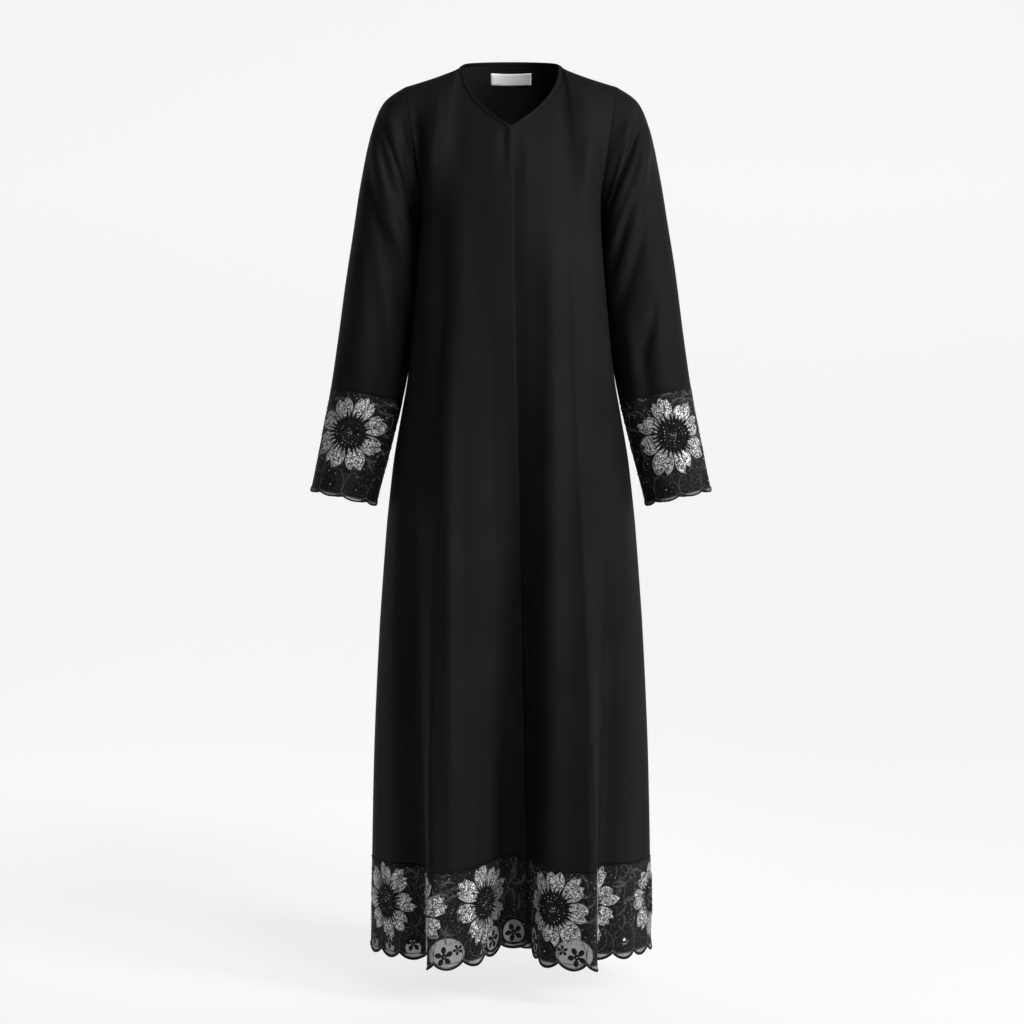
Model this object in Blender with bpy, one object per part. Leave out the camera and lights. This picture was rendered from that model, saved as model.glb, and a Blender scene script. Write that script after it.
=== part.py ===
"""A floor-length abaya with lace cuffs and a lace hem border, filled out as when it is worn.

Blender 4.5 script. Metres, +Z up. The front faces -Y and the wearer's left is +X. The origin lies midway
between the two neck points of the shoulder seams, where a wearer carries the weight of the garment.

The body is a loft between unlike sections: an oval at each height of the figure, which opens into the fluted
plan of the hem. A column keeps the same share of the cloth's width at every height, as a thread of the cloth
does. The sleeves are a loft of leaning rings from the armhole to the cuff. The lace is triangulated flat, as
it is drawn, with its scallops, openings and flowers, and then wrapped on the hem and on the cuffs.
"""

import math

import bmesh
import bpy
import numpy as np
from mathutils import Vector
from mathutils.geometry import delaunay_2d_cdt

# Cloth and seams
CLOTH = 0.0015
LACE = 0.0014
BINDING = 0.0018
LABEL = 0.0010
LABEL_GAP = 0.0005
SEAM_GAP = 0.0003

# Heights on the figure, from the neck points down
UNDERARM_Z = -0.235
FOLDS_START_Z = -0.34
LACE_TOP_Z = -1.2255
HEM_Z = -1.369
FOLD_GROWTH = 1.25
CENTRE_LIFT = 0.013
CENTRE_LIFT_SHARE = 0.10
SIDE_DROP = 0.005

# Neckline, shoulder and armhole
NECK_HALF_WIDTH = 0.0745
NECK_POINT_Z = 0.003
FRONT_NECK_DROP = 0.112
FRONT_NECK_REACH = 0.094
FRONT_NECK_POWER = 2.1
BACK_NECK_RISE = 0.019
BACK_NECK_REACH = 0.056
BINDING_WIDTH = 0.0055
SHOULDER_TIP = (0.165, -0.031)
SHOULDER_SAG = 0.84
NECK_SHARE = 0.5
FRONT_ARMHOLE_DEPTH = 0.062
BACK_ARMHOLE_DEPTH = 0.068
SHOULDER_FULLNESS = 0.068
FRONT_ROUNDNESS = 2.0
BACK_ROUNDNESS = 2.5

# Front overlap, as shares of half the body's width of cloth
OVER_LAP = 0.004
UNDER_LAP = 0.034
UNDER_RAMP = 0.050
UNDER_DEPTH = 0.0024
DRIFT_START_Z = -0.11
EDGE_DRIFT = 0.020

# Label inside the back neck
LABEL_WIDTH = 0.064
LABEL_HEIGHT = 0.0172
LABEL_TOP_Z = 0.004

# Grid
PATCH_ROWS = 9
SKIRT_ROWS = 11
QUARTER_COLUMNS = (11, 8, 8, 10)
TURN_WEIGHT = 0.022
SLEEVE_RINGS_SHOWN = 15
OVAL_POWER = 2.35
HOLLOW_SPREAD = math.radians(20)

# Ovals of the figure: z, half width, front depth, back depth, hollow where the arm lies
OVALS = (
    (-0.235, 0.1520, 0.122, 0.112, 0.0170),
    (-0.300, 0.1585, 0.126, 0.113, 0.0265),
    (-0.370, 0.1640, 0.128, 0.115, 0.0255),
    (-0.460, 0.1680, 0.128, 0.118, 0.0175),
    (-0.530, 0.1710, 0.127, 0.121, 0.0090),
    (-0.610, 0.1765, 0.126, 0.124, 0.0020),
    (-0.705, 0.1840, 0.126, 0.126, 0.0000),
    (-0.860, 0.1945, 0.126, 0.126, 0.0000),
    (-1.080, 0.2060, 0.126, 0.126, 0.0000),
    (-1.374, 0.2120, 0.126, 0.126, 0.0000),
)

# Plan of the hem, anticlockwise from the centre front as seen from above: name, x, y, corner radius
HEM_PLAN = (
    ("centre front valley", 0.014, -0.036, 0.026),
    ("left flute, inner", 0.046, -0.160, 0.024),
    ("left flute, outer", 0.129, -0.180, 0.011),
    ("left flute, foot", 0.121, -0.086, 0.016),
    ("left side, front", 0.172, -0.082, 0.045),
    ("left side", 0.2240, -0.004, 0.070),
    ("left side, back", 0.205, 0.082, 0.030),
    ("left back valley", 0.142, 0.078, 0.020),
    ("left back flute, outer", 0.136, 0.158, 0.024),
    ("left back flute, inner", 0.070, 0.164, 0.026),
    ("left back inner valley", 0.046, 0.086, 0.022),
    ("centre back flute, left", 0.030, 0.168, 0.026),
    ("centre back", 0.000, 0.174, 0.030),
    ("centre back flute, right", -0.034, 0.166, 0.026),
    ("right back inner valley", -0.052, 0.084, 0.022),
    ("right back flute, inner", -0.074, 0.160, 0.026),
    ("right back flute, outer", -0.138, 0.154, 0.024),
    ("right back valley", -0.146, 0.080, 0.020),
    ("right side, back", -0.205, 0.080, 0.030),
    ("right side", -0.2240, -0.006, 0.070),
    ("right side, front", -0.168, -0.082, 0.045),
    ("right flute, foot", -0.120, -0.084, 0.016),
    ("right flute, outer", -0.125, -0.178, 0.011),
    ("right flute, inner", -0.052, -0.150, 0.032),
)
CENTRE_BACK = 12

# Rings of a sleeve: outer x and z, inner x and z, reach to the front and to the back
SLEEVE_RINGS = (
    (0.1650, -0.031, 0.1350, -0.235, 0.062, 0.068),
    (0.1985, -0.0565, 0.1362, -0.243, 0.068, 0.072),
    (0.2180, -0.105, 0.1378, -0.260, 0.071, 0.074),
    (0.2340, -0.180, 0.1345, -0.303, 0.070, 0.073),
    (0.2470, -0.265, 0.1393, -0.353, 0.067, 0.070),
    (0.2590, -0.345, 0.1480, -0.408, 0.064, 0.066),
    (0.2695, -0.423, 0.1580, -0.464, 0.060, 0.062),
    (0.2810, -0.501, 0.1695, -0.522, 0.056, 0.058),
    (0.2960, -0.580, 0.1895, -0.603, 0.053, 0.054),
    (0.3120, -0.661, 0.2110, -0.684, 0.051, 0.052),
)
CUFF_TOP_SHARE = 7 / 9
SLEEVE_LENGTH = 0.62
SLEEVE_RADIUS = 0.060

# Folds of a sleeve, from one angle and share of its length to another: names, degrees, shares, width, height.
# The angle is 0 on the outer line, 90 at the front and -90 at the back.
SLEEVE_FOLDS = (
    ("armpit valley", 40, 0.14, 128, 0.20, 0.016, -0.010),
    ("armpit ridge", 34, 0.22, 120, 0.33, 0.016, 0.006),
    ("elbow valley", 48, 0.30, 124, 0.52, 0.017, -0.008),
    ("forearm ridge", 52, 0.42, 88, 0.74, 0.020, 0.004),
    ("wrist valley", 100, 0.62, 112, 0.84, 0.016, -0.006),
    ("back armpit valley", -44, 0.15, -128, 0.24, 0.017, -0.010),
    ("back elbow valley", -52, 0.34, -118, 0.50, 0.017, -0.007),
    ("back wrist valley", -84, 0.56, -100, 0.80, 0.018, -0.005),
)

# Folds of the upper front and back, in the front view: name, side, x and z of both ends, width, height
BODY_FOLDS = (
    ("left armpit fold", -1, 0.148, -0.150, 0.140, -0.330, 0.011, -0.004),
    ("left bust drape", -1, 0.118, -0.170, 0.108, -0.520, 0.022, 0.004),
    ("right armpit fold", -1, -0.152, -0.080, -0.144, -0.250, 0.012, -0.006),
    ("right bust drape", -1, -0.104, -0.190, -0.092, -0.540, 0.024, 0.004),
    ("left blade drape", 1, 0.104, -0.130, 0.096, -0.480, 0.024, 0.005),
    ("right blade drape", 1, -0.108, -0.140, -0.098, -0.470, 0.024, 0.005),
)

# Flowers of the lace: arc length from the centre front, or from the start of the back's piece or of a cuff's
# half, then distance down from the lace's top edge, and turn
FLOWERS = {
    "hem_lace_front_left": ((0.108, 0.055, 0.10), (0.236, 0.060, 0.45), (0.387, 0.058, 0.00)),
    "hem_lace_front_right": ((0.073, 0.056, 0.20), (0.204, 0.066, 0.30), (0.330, 0.058, 0.05)),
    "hem_lace_back": (
        (0.073, 0.062, 0.15),
        (0.220, 0.057, 0.40),
        (0.367, 0.064, 0.00),
        (0.514, 0.058, 0.30),
        (0.661, 0.063, 0.20),
    ),
    "cuff_lace_left_front": ((0.075, 0.068, 0.20),),
    "cuff_lace_left_back": ((0.080, 0.072, 0.50),),
    "cuff_lace_right_front": ((0.075, 0.064, 0.35),),
    "cuff_lace_right_back": ((0.080, 0.070, 0.25),),
}

# Lace: the scallops, the crescent openings in them, and the flowers
SCALLOP_DEPTH = 0.011
SCALLOP_POINTS = (0.0, 0.10, 0.28, 0.50, 0.72, 0.90)
HEM_SCALLOP_WIDTH = 0.044
CUFF_SCALLOP_WIDTH = 0.040
CRESCENT_INSET = 0.0045
CRESCENT_HEIGHT = 0.0052
CRESCENT_OUTER = (0.20, 0.40, 0.60, 0.80)
CRESCENT_INNER = (0.62, 0.38)
PETALS = 8
FLOWER_RADIUS = 0.053
PETAL_OUTLINE = ((0.44, -1.0), (0.78, -0.82), (1.00, -0.36), (0.90, 0.0), (0.98, 0.38), (0.76, 0.82))
PETAL_RIDGE = ((0.62, 0.0), (0.82, -0.38), (0.82, 0.38))
PETAL_HEIGHT = 0.0013
CENTRE_RING = 0.28
CENTRE_HEIGHT = 0.0012
CORNER_TURN = math.radians(14)
LACE_JOINT_COLUMN = 2
CORNER_POINT_STEP = 0.012

BLACK_CREPE = ("black_crepe", (0.012, 0.012, 0.013, 1.0), 0.72)
BLACK_LACE = ("black_lace", (0.016, 0.016, 0.017, 1.0), 0.80)
LABEL_SATIN = ("label_satin", (0.62, 0.62, 0.61, 1.0), 0.55)


def cloth_material(name, colour, roughness):
    material = bpy.data.materials.new(name)
    material.use_nodes = True
    shader = material.node_tree.nodes["Principled BSDF"]
    shader.inputs["Base Color"].default_value = colour
    shader.inputs["Roughness"].default_value = roughness
    shader.inputs["Metallic"].default_value = 0.0
    return material


def eased(value):
    value = min(1.0, max(0.0, value))
    return value * value * (3 - 2 * value)


def table_at(rows, place):
    """The row of numbers at a fractional place in a table, on a smooth curve through its rows."""
    rows = np.array(rows, float)
    last = len(rows) - 1
    place = min(max(place, 0.0), float(last))
    index = min(int(place), last - 1)
    t = place - index
    before = rows[max(index - 1, 0)]
    start, end = rows[index], rows[index + 1]
    after = rows[min(index + 2, last)]
    slope_in, slope_out = (end - before) / 2, (after - start) / 2
    a, b = 2 * t**3 - 3 * t**2 + 1, t**3 - 2 * t**2 + t
    c, d = 3 * t**2 - 2 * t**3, t**3 - t**2
    return a * start + b * slope_in + c * end + d * slope_out


def even_shares(points):
    """The share of a line's length at each of its points."""
    steps = np.linalg.norm(np.diff(points, axis=0), axis=1)
    along = np.concatenate([[0.0], np.cumsum(steps)])
    return along / along[-1], along[-1]


def at_share(line, shares):
    """Points at these shares of the length of a line."""
    along, _ = even_shares(line)
    return np.stack([np.interp(shares, along, line[:, k]) for k in range(line.shape[1])], axis=1)


def oval_at(z):
    """The left half of the figure's oval at a height, from the centre front to the centre back."""
    heights = [row[0] for row in OVALS]
    place = np.interp(-z, [-h for h in heights], range(len(heights)))
    half_width, front, back, hollow = table_at([row[1:] for row in OVALS], place)
    angle = np.linspace(0.0, math.pi, 361)
    power = 2 / OVAL_POWER
    x = half_width * np.sin(angle).clip(0) ** power
    x = x - hollow * np.exp(-(((angle - math.pi / 2) / HOLLOW_SPREAD) ** 2))
    depth = np.where(angle < math.pi / 2, front, back)
    y = -depth * np.sign(np.cos(angle)) * np.abs(np.cos(angle)) ** power
    x[0] = x[-1] = 0.0
    return np.stack([x, y], axis=1)


def rounded_plan(rows):
    """The hem's plan as one closed line with its corners rounded, and the point at the middle of each corner."""
    corners = np.array([row[1:3] for row in rows], float)
    line, middles = [], []
    count = len(corners)
    for k, (_, _, _, radius) in enumerate(rows):
        here = corners[k]
        to_last = corners[k - 1] - here
        to_next = corners[(k + 1) % count] - here
        room = 0.48 * min(np.linalg.norm(to_last), np.linalg.norm(to_next))
        to_last, to_next = to_last / np.linalg.norm(to_last), to_next / np.linalg.norm(to_next)
        half_angle = 0.5 * math.acos(float(np.clip(to_last @ to_next, -1, 1)))
        cut = min(radius / math.tan(half_angle), room)
        radius = cut * math.tan(half_angle)
        bisector = (to_last + to_next) / np.linalg.norm(to_last + to_next)
        centre = here + bisector * radius / math.sin(half_angle)
        start, end = here + to_last * cut - centre, here + to_next * cut - centre
        sweep = math.pi - 2 * half_angle
        turn = math.copysign(1.0, start[0] * end[1] - start[1] * end[0])
        first = math.atan2(start[1], start[0])
        angles = first + turn * np.linspace(0.0, sweep, 13)
        arc = centre + radius * np.stack([np.cos(angles), np.sin(angles)], axis=1)
        middles.append(len(line) + 6)
        line.extend(arc)
    return np.array(line), middles


PLAN_LINE, PLAN_MIDDLES = rounded_plan(HEM_PLAN)
PLAN_FRONT, PLAN_BACK = PLAN_MIDDLES[0], PLAN_MIDDLES[CENTRE_BACK]
PLAN_LEFT = PLAN_LINE[PLAN_FRONT : PLAN_BACK + 1]
PLAN_RIGHT = np.concatenate([PLAN_LINE[: PLAN_FRONT + 1][::-1], PLAN_LINE[PLAN_BACK:][::-1]])
LEFT_LENGTH = even_shares(PLAN_LEFT)[1]
RIGHT_LENGTH = even_shares(PLAN_RIGHT)[1]


def folds_at(z):
    """How far the hem's folds have opened at a height, from 0 to 1."""
    return max(0.0, (FOLDS_START_Z - z) / (FOLDS_START_Z - HEM_Z)) ** FOLD_GROWTH


def segment_folds(folds, point, place):
    """Height added at a place by soft ridges and valleys, each along a segment between two places."""
    height = 0.0
    for start, end, width, depth in folds:
        along = end - start
        share = float(np.clip((place - start) @ along / (along @ along), 0.0, 1.0))
        away = np.linalg.norm(place - start - share * along)
        taper = 0.25 + 0.75 * math.sin(math.pi * min(1.0, 0.1 + 0.8 * share))
        height += depth * taper * math.exp(-((away / width) ** 2))
    return height


FRONT_FOLDS = [(np.array(r[2:4]), np.array(r[4:6]), r[6], r[7]) for r in BODY_FOLDS if r[1] < 0]
BACK_FOLDS = [(np.array(r[2:4]), np.array(r[4:6]), r[6], r[7]) for r in BODY_FOLDS if r[1] > 0]


def folded(point):
    """A point of the body moved out by the folds of the upper front or back."""
    x, y, z = point
    folds = FRONT_FOLDS if y < 0 else BACK_FOLDS
    height = segment_folds(folds, point, np.array([x, z]))
    height *= eased(abs(y) / 0.03)
    return np.array([x, y + math.copysign(height, y), z])


def drifted(share, z):
    """A share of the cloth's width, moved as the front edges drift to the wearer's left on their way down."""
    fallen = min(1.0, max(0.0, (DRIFT_START_Z - z) / (DRIFT_START_Z - HEM_Z)))
    return share + EDGE_DRIFT * (1.0 - (1.0 - fallen) ** 2) * eased((0.22 - abs(share)) / 0.16)


def skirt_ring(z, shares):
    """Points of the body at a height below the underarm. A share is 0 at the centre front, 1 at the centre
    back, and negative on the right side."""
    oval = oval_at(z)
    opened = folds_at(z)
    points = []
    for share in shares:
        share = drifted(share, z)
        side = 1.0 if share >= 0 else -1.0
        near = at_share(oval, [abs(share)])[0] * (side, 1.0)
        far = at_share(PLAN_LEFT if side > 0 else PLAN_RIGHT, [abs(share)])[0]
        x, y = near + (far - near) * opened
        lift = CENTRE_LIFT * math.exp(-((share / CENTRE_LIFT_SHARE) ** 2))
        lift -= SIDE_DROP * math.sin(math.pi * abs(share)) ** 4
        points.append(folded((x, y, z + lift * opened)))
    return np.array(points)


def neck_curve(share, out, front):
    """A point of the neckline, at a share of the way from its centre to the neck point, moved out from it."""
    half_width = NECK_HALF_WIDTH + out
    if front:
        drop = 1.0 - share
        x = half_width * (1.0 - drop**FRONT_NECK_POWER)
        y = -(FRONT_NECK_REACH + 0.2 * out) * drop
        z = NECK_POINT_Z - 0.55 * out * share - (FRONT_NECK_DROP + 1.15 * out) * drop
    else:
        angle = 0.5 * math.pi * (1.0 - share)
        x = half_width * math.cos(angle)
        y = (BACK_NECK_REACH + 0.25 * out) * math.sin(angle)
        z = NECK_POINT_Z - 0.55 * out + (BACK_NECK_RISE - 0.45 * out) * math.sin(angle) ** 0.8
    return np.array([x, y, z])


def top_edge(share, front):
    """The top edge of a body panel, at a share of its width: half of it is neckline and half is shoulder."""
    if share <= NECK_SHARE:
        return neck_curve(share / NECK_SHARE, BINDING_WIDTH, front)
    along = (share - NECK_SHARE) / (1.0 - NECK_SHARE)
    neck = neck_curve(1.0, BINDING_WIDTH, front)
    x = neck[0] + (SHOULDER_TIP[0] - neck[0]) * along
    z = neck[2] + (SHOULDER_TIP[1] - neck[2]) * along**SHOULDER_SAG
    return np.array([x, 0.0, z])


def patch_point(share, fall, front):
    """A point of the body above the underarm, on the left side. The share goes from the centre to the
    armhole, and the fall from the top edge to the underarm's height."""
    top = top_edge(share, front)
    body_share = 0.5 * share if front else 1.0 - 0.5 * share
    low = np.append(at_share(oval_at(UNDERARM_Z), [body_share])[0], UNDERARM_Z)
    down = 0.5 - 0.5 * math.cos(math.pi * fall)
    roundness = FRONT_ROUNDNESS if front else BACK_ROUNDNESS
    forward = 1.0 - (1.0 - down) ** roundness
    point = top + (low - top) * down
    point[1] = top[1] + (low[1] - top[1]) * forward
    fanned = math.sin(0.5 * math.pi * fall)
    sideways = fanned + (down - fanned) * eased((share - NECK_SHARE) / (1.0 - NECK_SHARE))
    point[0] = top[0] + (low[0] - top[0]) * sideways
    halfway = abs(top[1] + (low[1] - top[1]) * (1.0 - 0.5**roundness))
    reach = (FRONT_ARMHOLE_DEPTH if front else BACK_ARMHOLE_DEPTH) + SHOULDER_FULLNESS * (1.0 - share)
    out = max(0.0, reach - halfway) * eased((share - 0.35) / 0.3)
    power = 1.0 if fall <= 0.5 else 1.0 + 2.0 * eased((1.0 - share) / 0.3)
    out *= max(0.0, math.sin(math.pi * fall)) ** power
    point[1] += -out if front else out
    return point


def body_point(share, fall, front):
    """A point of the body above the underarm, at any share of its width, on the front or on the back."""
    if front:
        middle_z = neck_curve(0.0, BINDING_WIDTH, True)[2]
        share = drifted(share, middle_z + (UNDERARM_Z - middle_z) * (0.5 - 0.5 * math.cos(math.pi * fall)))
    side = 1.0 if share >= 0 else -1.0
    patch_share = abs(share) / 0.5 if front else (1.0 - abs(share)) / 0.5
    point = patch_point(patch_share, fall, front)
    fade = eased((1.0 - patch_share) / 0.15) * eased(fall / 0.2)
    moved = folded((side * point[0], point[1], point[2]))
    moved[1] = point[1] + (moved[1] - point[1]) * fade
    return moved


def armhole_point(angle, side):
    """A point of the armhole, where the body's panels and the sleeve meet."""
    point = patch_point(1.0, abs(angle) / math.pi, angle > 0)
    return point * (side, 1.0, 1.0)


SLEEVE_FOLD_LINES = [
    (
        np.array([math.radians(row[1]) * SLEEVE_RADIUS, row[2] * SLEEVE_LENGTH]),
        np.array([math.radians(row[3]) * SLEEVE_RADIUS, row[4] * SLEEVE_LENGTH]),
        row[5],
        row[6],
    )
    for row in SLEEVE_FOLDS
]


def sleeve_point(angle, share, side):
    """A point of a sleeve: the angle goes round it, 0 on the outer line and positive to the front."""
    ring = table_at(SLEEVE_RINGS, share * (len(SLEEVE_RINGS) - 1))
    outer, inner = ring[0:2], ring[2:4]
    middle, half = (outer + inner) / 2, (outer - inner) / 2
    x, z = middle + half * math.cos(angle)
    reach = ring[4] if angle > 0 else ring[5]
    y = -reach * math.sin(angle)
    place = np.array([angle * SLEEVE_RADIUS, share * SLEEVE_LENGTH])
    height = segment_folds(SLEEVE_FOLD_LINES, None, place) * eased(share / 0.1)
    point = np.array([x, y, z])
    away = np.array([half[0] * math.cos(angle), y, half[1] * math.cos(angle)])
    across = np.array([half[1], 0.0, -half[0]]) / np.linalg.norm(half)
    outward = away - across * (away @ across)
    point = point + outward / np.linalg.norm(outward) * height
    point[0] *= side
    blend = 1.0 - eased(share / 0.12)
    if blend > 0:
        first_ring = table_at(SLEEVE_RINGS, 0.0)
        flat_y = -(first_ring[4] if angle > 0 else first_ring[5]) * math.sin(angle)
        seam = armhole_point(angle, side)
        point[1] += (seam[1] - flat_y) * blend
        if share == 0.0:
            point = seam
    return point


def columns_by_turn(line, length, quarter_counts):
    """Shares of a half of the body for its columns, closer together where the hem turns sharply."""
    fine = np.linspace(0.0, 1.0, 1201)
    points = at_share(line, fine)
    heading = np.unwrap(np.arctan2(*np.diff(points, axis=0).T[::-1]))
    turn = np.concatenate([[0.0, 0.0], np.abs(np.diff(heading))])
    weight = np.cumsum(np.full(len(fine), length / 1200) + TURN_WEIGHT * turn)
    shares = [0.0]
    for quarter, count in enumerate(quarter_counts):
        start, end = quarter / 4, (quarter + 1) / 4
        low, high = np.interp([start, end], fine, weight)
        inside = np.interp(np.linspace(low, high, count + 1)[1:], weight, fine)
        inside[-1] = end
        shares.extend(inside)
    return shares


LEFT_SHARES = columns_by_turn(PLAN_LEFT, LEFT_LENGTH, QUARTER_COLUMNS)
RIGHT_SHARES = columns_by_turn(PLAN_RIGHT, RIGHT_LENGTH, QUARTER_COLUMNS)


def up_to_side(shares):
    return [s for s in shares if s <= 0.5]


def from_side(shares):
    return [s for s in shares if s >= 0.5]


def near_front(shares, ramp):
    """Front columns with the ones that crowd the overlap's ramp left out."""
    return [s for s in shares if s > ramp * 1.3]


FRONT_LEFT_SHARES = [-UNDER_LAP, -UNDER_LAP / 2, OVER_LAP, UNDER_RAMP * 0.55, UNDER_RAMP * 1.1] + near_front(
    up_to_side(LEFT_SHARES), UNDER_RAMP
)
FRONT_RIGHT_SHARES = [OVER_LAP, -UNDER_LAP / 2, -UNDER_LAP, -UNDER_RAMP * 1.1] + [
    -s for s in near_front(up_to_side(RIGHT_SHARES), UNDER_RAMP)
]
BACK_SHARES = from_side(LEFT_SHARES) + [-s for s in from_side(RIGHT_SHARES)[::-1][1:]]


def under_offset(share):
    """How far the left front is set in, where it passes under the edge of the right front."""
    return UNDER_DEPTH * (1.0 - eased((share - OVER_LAP) / (UNDER_RAMP - OVER_LAP)))


def body_grid(shares, front):
    """Rows of points from the top edge to the top of the lace."""
    rows = []
    for k in range(PATCH_ROWS):
        fall = k / PATCH_ROWS
        rows.append([body_point(s, fall, front) for s in shares])
    for k in range(SKIRT_ROWS + 1):
        z = UNDERARM_Z + (LACE_TOP_Z - UNDERARM_Z) * k / SKIRT_ROWS
        rows.append(skirt_ring(z, shares))
    return np.array(rows)


def sleeve_grid(side):
    """Rings of points from the armhole to the top of the lace, closed round the sleeve."""
    rings = []
    angles = [math.pi * k / PATCH_ROWS for k in range(-PATCH_ROWS, PATCH_ROWS + 1)]
    for k in range(SLEEVE_RINGS_SHOWN + 1):
        share = CUFF_TOP_SHARE * k / SLEEVE_RINGS_SHOWN
        rings.append([sleeve_point(angle, share, side) for angle in angles])
    return np.array(rings)


def grid_faces(grid):
    rows, columns = grid.shape[:2]
    for i in range(rows - 1):
        for j in range(columns - 1):
            yield (i, j), (i, j + 1), (i + 1, j + 1), (i + 1, j)


def face_normal(grid, corners):
    a, b, c, d = (grid[corner] for corner in corners)
    return np.cross(c - a, d - b) / 2


def key_of(point):
    return tuple(np.round(point, 5))


def outward_sign(grid, away_from):
    """1 if the grid's faces turn away from a line of centres, else -1."""
    total = 0.0
    for corners in grid_faces(grid):
        middle = sum(grid[c] for c in corners) / 4
        total += face_normal(grid, corners) @ (middle - away_from(middle))
    return math.copysign(1.0, total)


def body_centre(point):
    return np.array([0.0, 0.0, point[2]])


def sleeve_centre(side):
    centres = [np.array([side * (r[0] + r[2]) / 2, 0.0, (r[1] + r[3]) / 2]) for r in SLEEVE_RINGS]

    def nearest(point):
        return min(centres, key=lambda c: np.linalg.norm(c - point))

    return nearest


def vertex_normals(grids, signs):
    """Normals of each grid's points: a seam's point takes the mean of the panels that meet there, apart from
    a sharp fold between them, where each panel keeps its own."""
    own, shared = {}, {}
    for name, grid in grids.items():
        totals = {}
        for corners in grid_faces(grid):
            normal = signs[name] * face_normal(grid, corners)
            for corner in corners:
                key = key_of(grid[corner])
                totals[key] = totals.get(key, 0.0) + normal
                shared[key] = shared.get(key, 0.0) + normal
        own[name] = totals
    normals = {}
    for name, grid in grids.items():
        result = np.zeros_like(grid)
        for index in np.ndindex(grid.shape[:2]):
            key = key_of(grid[index])
            alone = own[name][key] / np.linalg.norm(own[name][key])
            mean = shared[key] / max(np.linalg.norm(shared[key]), 1e-12)
            apart = math.acos(float(np.clip(alone @ mean, -1, 1)))
            weight = eased((apart - math.radians(25)) / math.radians(20))
            normal = mean + (alone - mean) * weight
            if index[0] == 0 and abs(grid[index][1]) < 1e-6 and not name.startswith("sleeve"):
                normal = normal * (1.0, 0.0, 1.0)
            result[index] = normal / np.linalg.norm(normal)
        normals[name] = result
    return normals


def drawn_back(grid, edges):
    """The grid with these edges moved in by half a seam gap."""
    moved = grid.copy()
    half = SEAM_GAP / 2

    def step(edge, inner):
        apart = inner - edge
        length = np.linalg.norm(apart, axis=-1, keepdims=True)
        return half * apart / np.maximum(length, 1e-9)

    if "top" in edges:
        moved[0] += step(grid[0], grid[1])
    if "bottom" in edges:
        moved[-1] += step(grid[-1], grid[-2])
    if "first" in edges:
        moved[:, 0] += step(grid[:, 0], grid[:, 1])
    if "last" in edges:
        moved[:, -1] += step(grid[:, -1], grid[:, -2])
    return moved


def solid_from_faces(name, points, faces, material):
    mesh = bpy.data.meshes.new(name)
    mesh.from_pydata([tuple(p) for p in points], [], faces)
    work = bmesh.new()
    work.from_mesh(mesh)
    bmesh.ops.triangulate(work, faces=work.faces[:])
    bmesh.ops.recalc_face_normals(work, faces=work.faces[:])
    work.to_mesh(mesh)
    work.free()
    mesh.materials.append(material)
    mesh.shade_smooth()
    mesh.set_sharp_from_angle(angle=math.radians(40))
    obj = bpy.data.objects.new(name, mesh)
    PARTS.objects.link(obj)
    return obj


def grid_wall(name, outer, inner, material, closed=False):
    """A wall between two grids of points, with its edges closed."""
    rows, columns = outer.shape[:2]
    across = columns - 1 if closed else columns
    points = np.concatenate([outer[:, :across].reshape(-1, 3), inner[:, :across].reshape(-1, 3)])
    half = rows * across

    def at(i, j, side):
        return side * half + i * across + j % across

    faces = []
    for i in range(rows - 1):
        for j in range(columns - 1):
            faces.append([at(i, j, 0), at(i, j + 1, 0), at(i + 1, j + 1, 0), at(i + 1, j, 0)])
            faces.append([at(i, j, 1), at(i + 1, j, 1), at(i + 1, j + 1, 1), at(i, j + 1, 1)])
    for j in range(columns - 1):
        faces.append([at(0, j, 0), at(0, j, 1), at(0, j + 1, 1), at(0, j + 1, 0)])
        faces.append([at(rows - 1, j, 0), at(rows - 1, j + 1, 0), at(rows - 1, j + 1, 1), at(rows - 1, j, 1)])
    if not closed:
        for i in range(rows - 1):
            faces.append([at(i, 0, 0), at(i + 1, 0, 0), at(i + 1, 0, 1), at(i, 0, 1)])
            last = columns - 1
            faces.append([at(i, last, 0), at(i, last, 1), at(i + 1, last, 1), at(i + 1, last, 0)])
    return solid_from_faces(name, points, faces, material)


def make_panels(crepe):
    """The two fronts, the back and the two sleeves, down to the lace."""
    grids = {
        "front_left": body_grid(FRONT_LEFT_SHARES, True),
        "front_right": body_grid(FRONT_RIGHT_SHARES, True),
        "back": body_grid(BACK_SHARES, False),
        "sleeve_left": sleeve_grid(1.0),
        "sleeve_right": sleeve_grid(-1.0),
    }
    centres = {"sleeve_left": sleeve_centre(1.0), "sleeve_right": sleeve_centre(-1.0)}
    signs = {name: outward_sign(grid, centres.get(name, body_centre)) for name, grid in grids.items()}
    normals = vertex_normals(grids, signs)
    under = np.array([under_offset(s) for s in FRONT_LEFT_SHARES])
    grids["front_left"] = grids["front_left"] - normals["front_left"] * under[None, :, None]
    for name, grid in grids.items():
        closed = name.startswith("sleeve")
        edges = ("top", "bottom") if closed else ("top", "bottom", "last")
        if name == "back":
            edges = ("top", "bottom", "first", "last")
        outer = drawn_back(grid, edges)
        grid_wall(name, outer, outer - normals[name] * CLOTH, crepe, closed)
    return grids, normals


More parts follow.
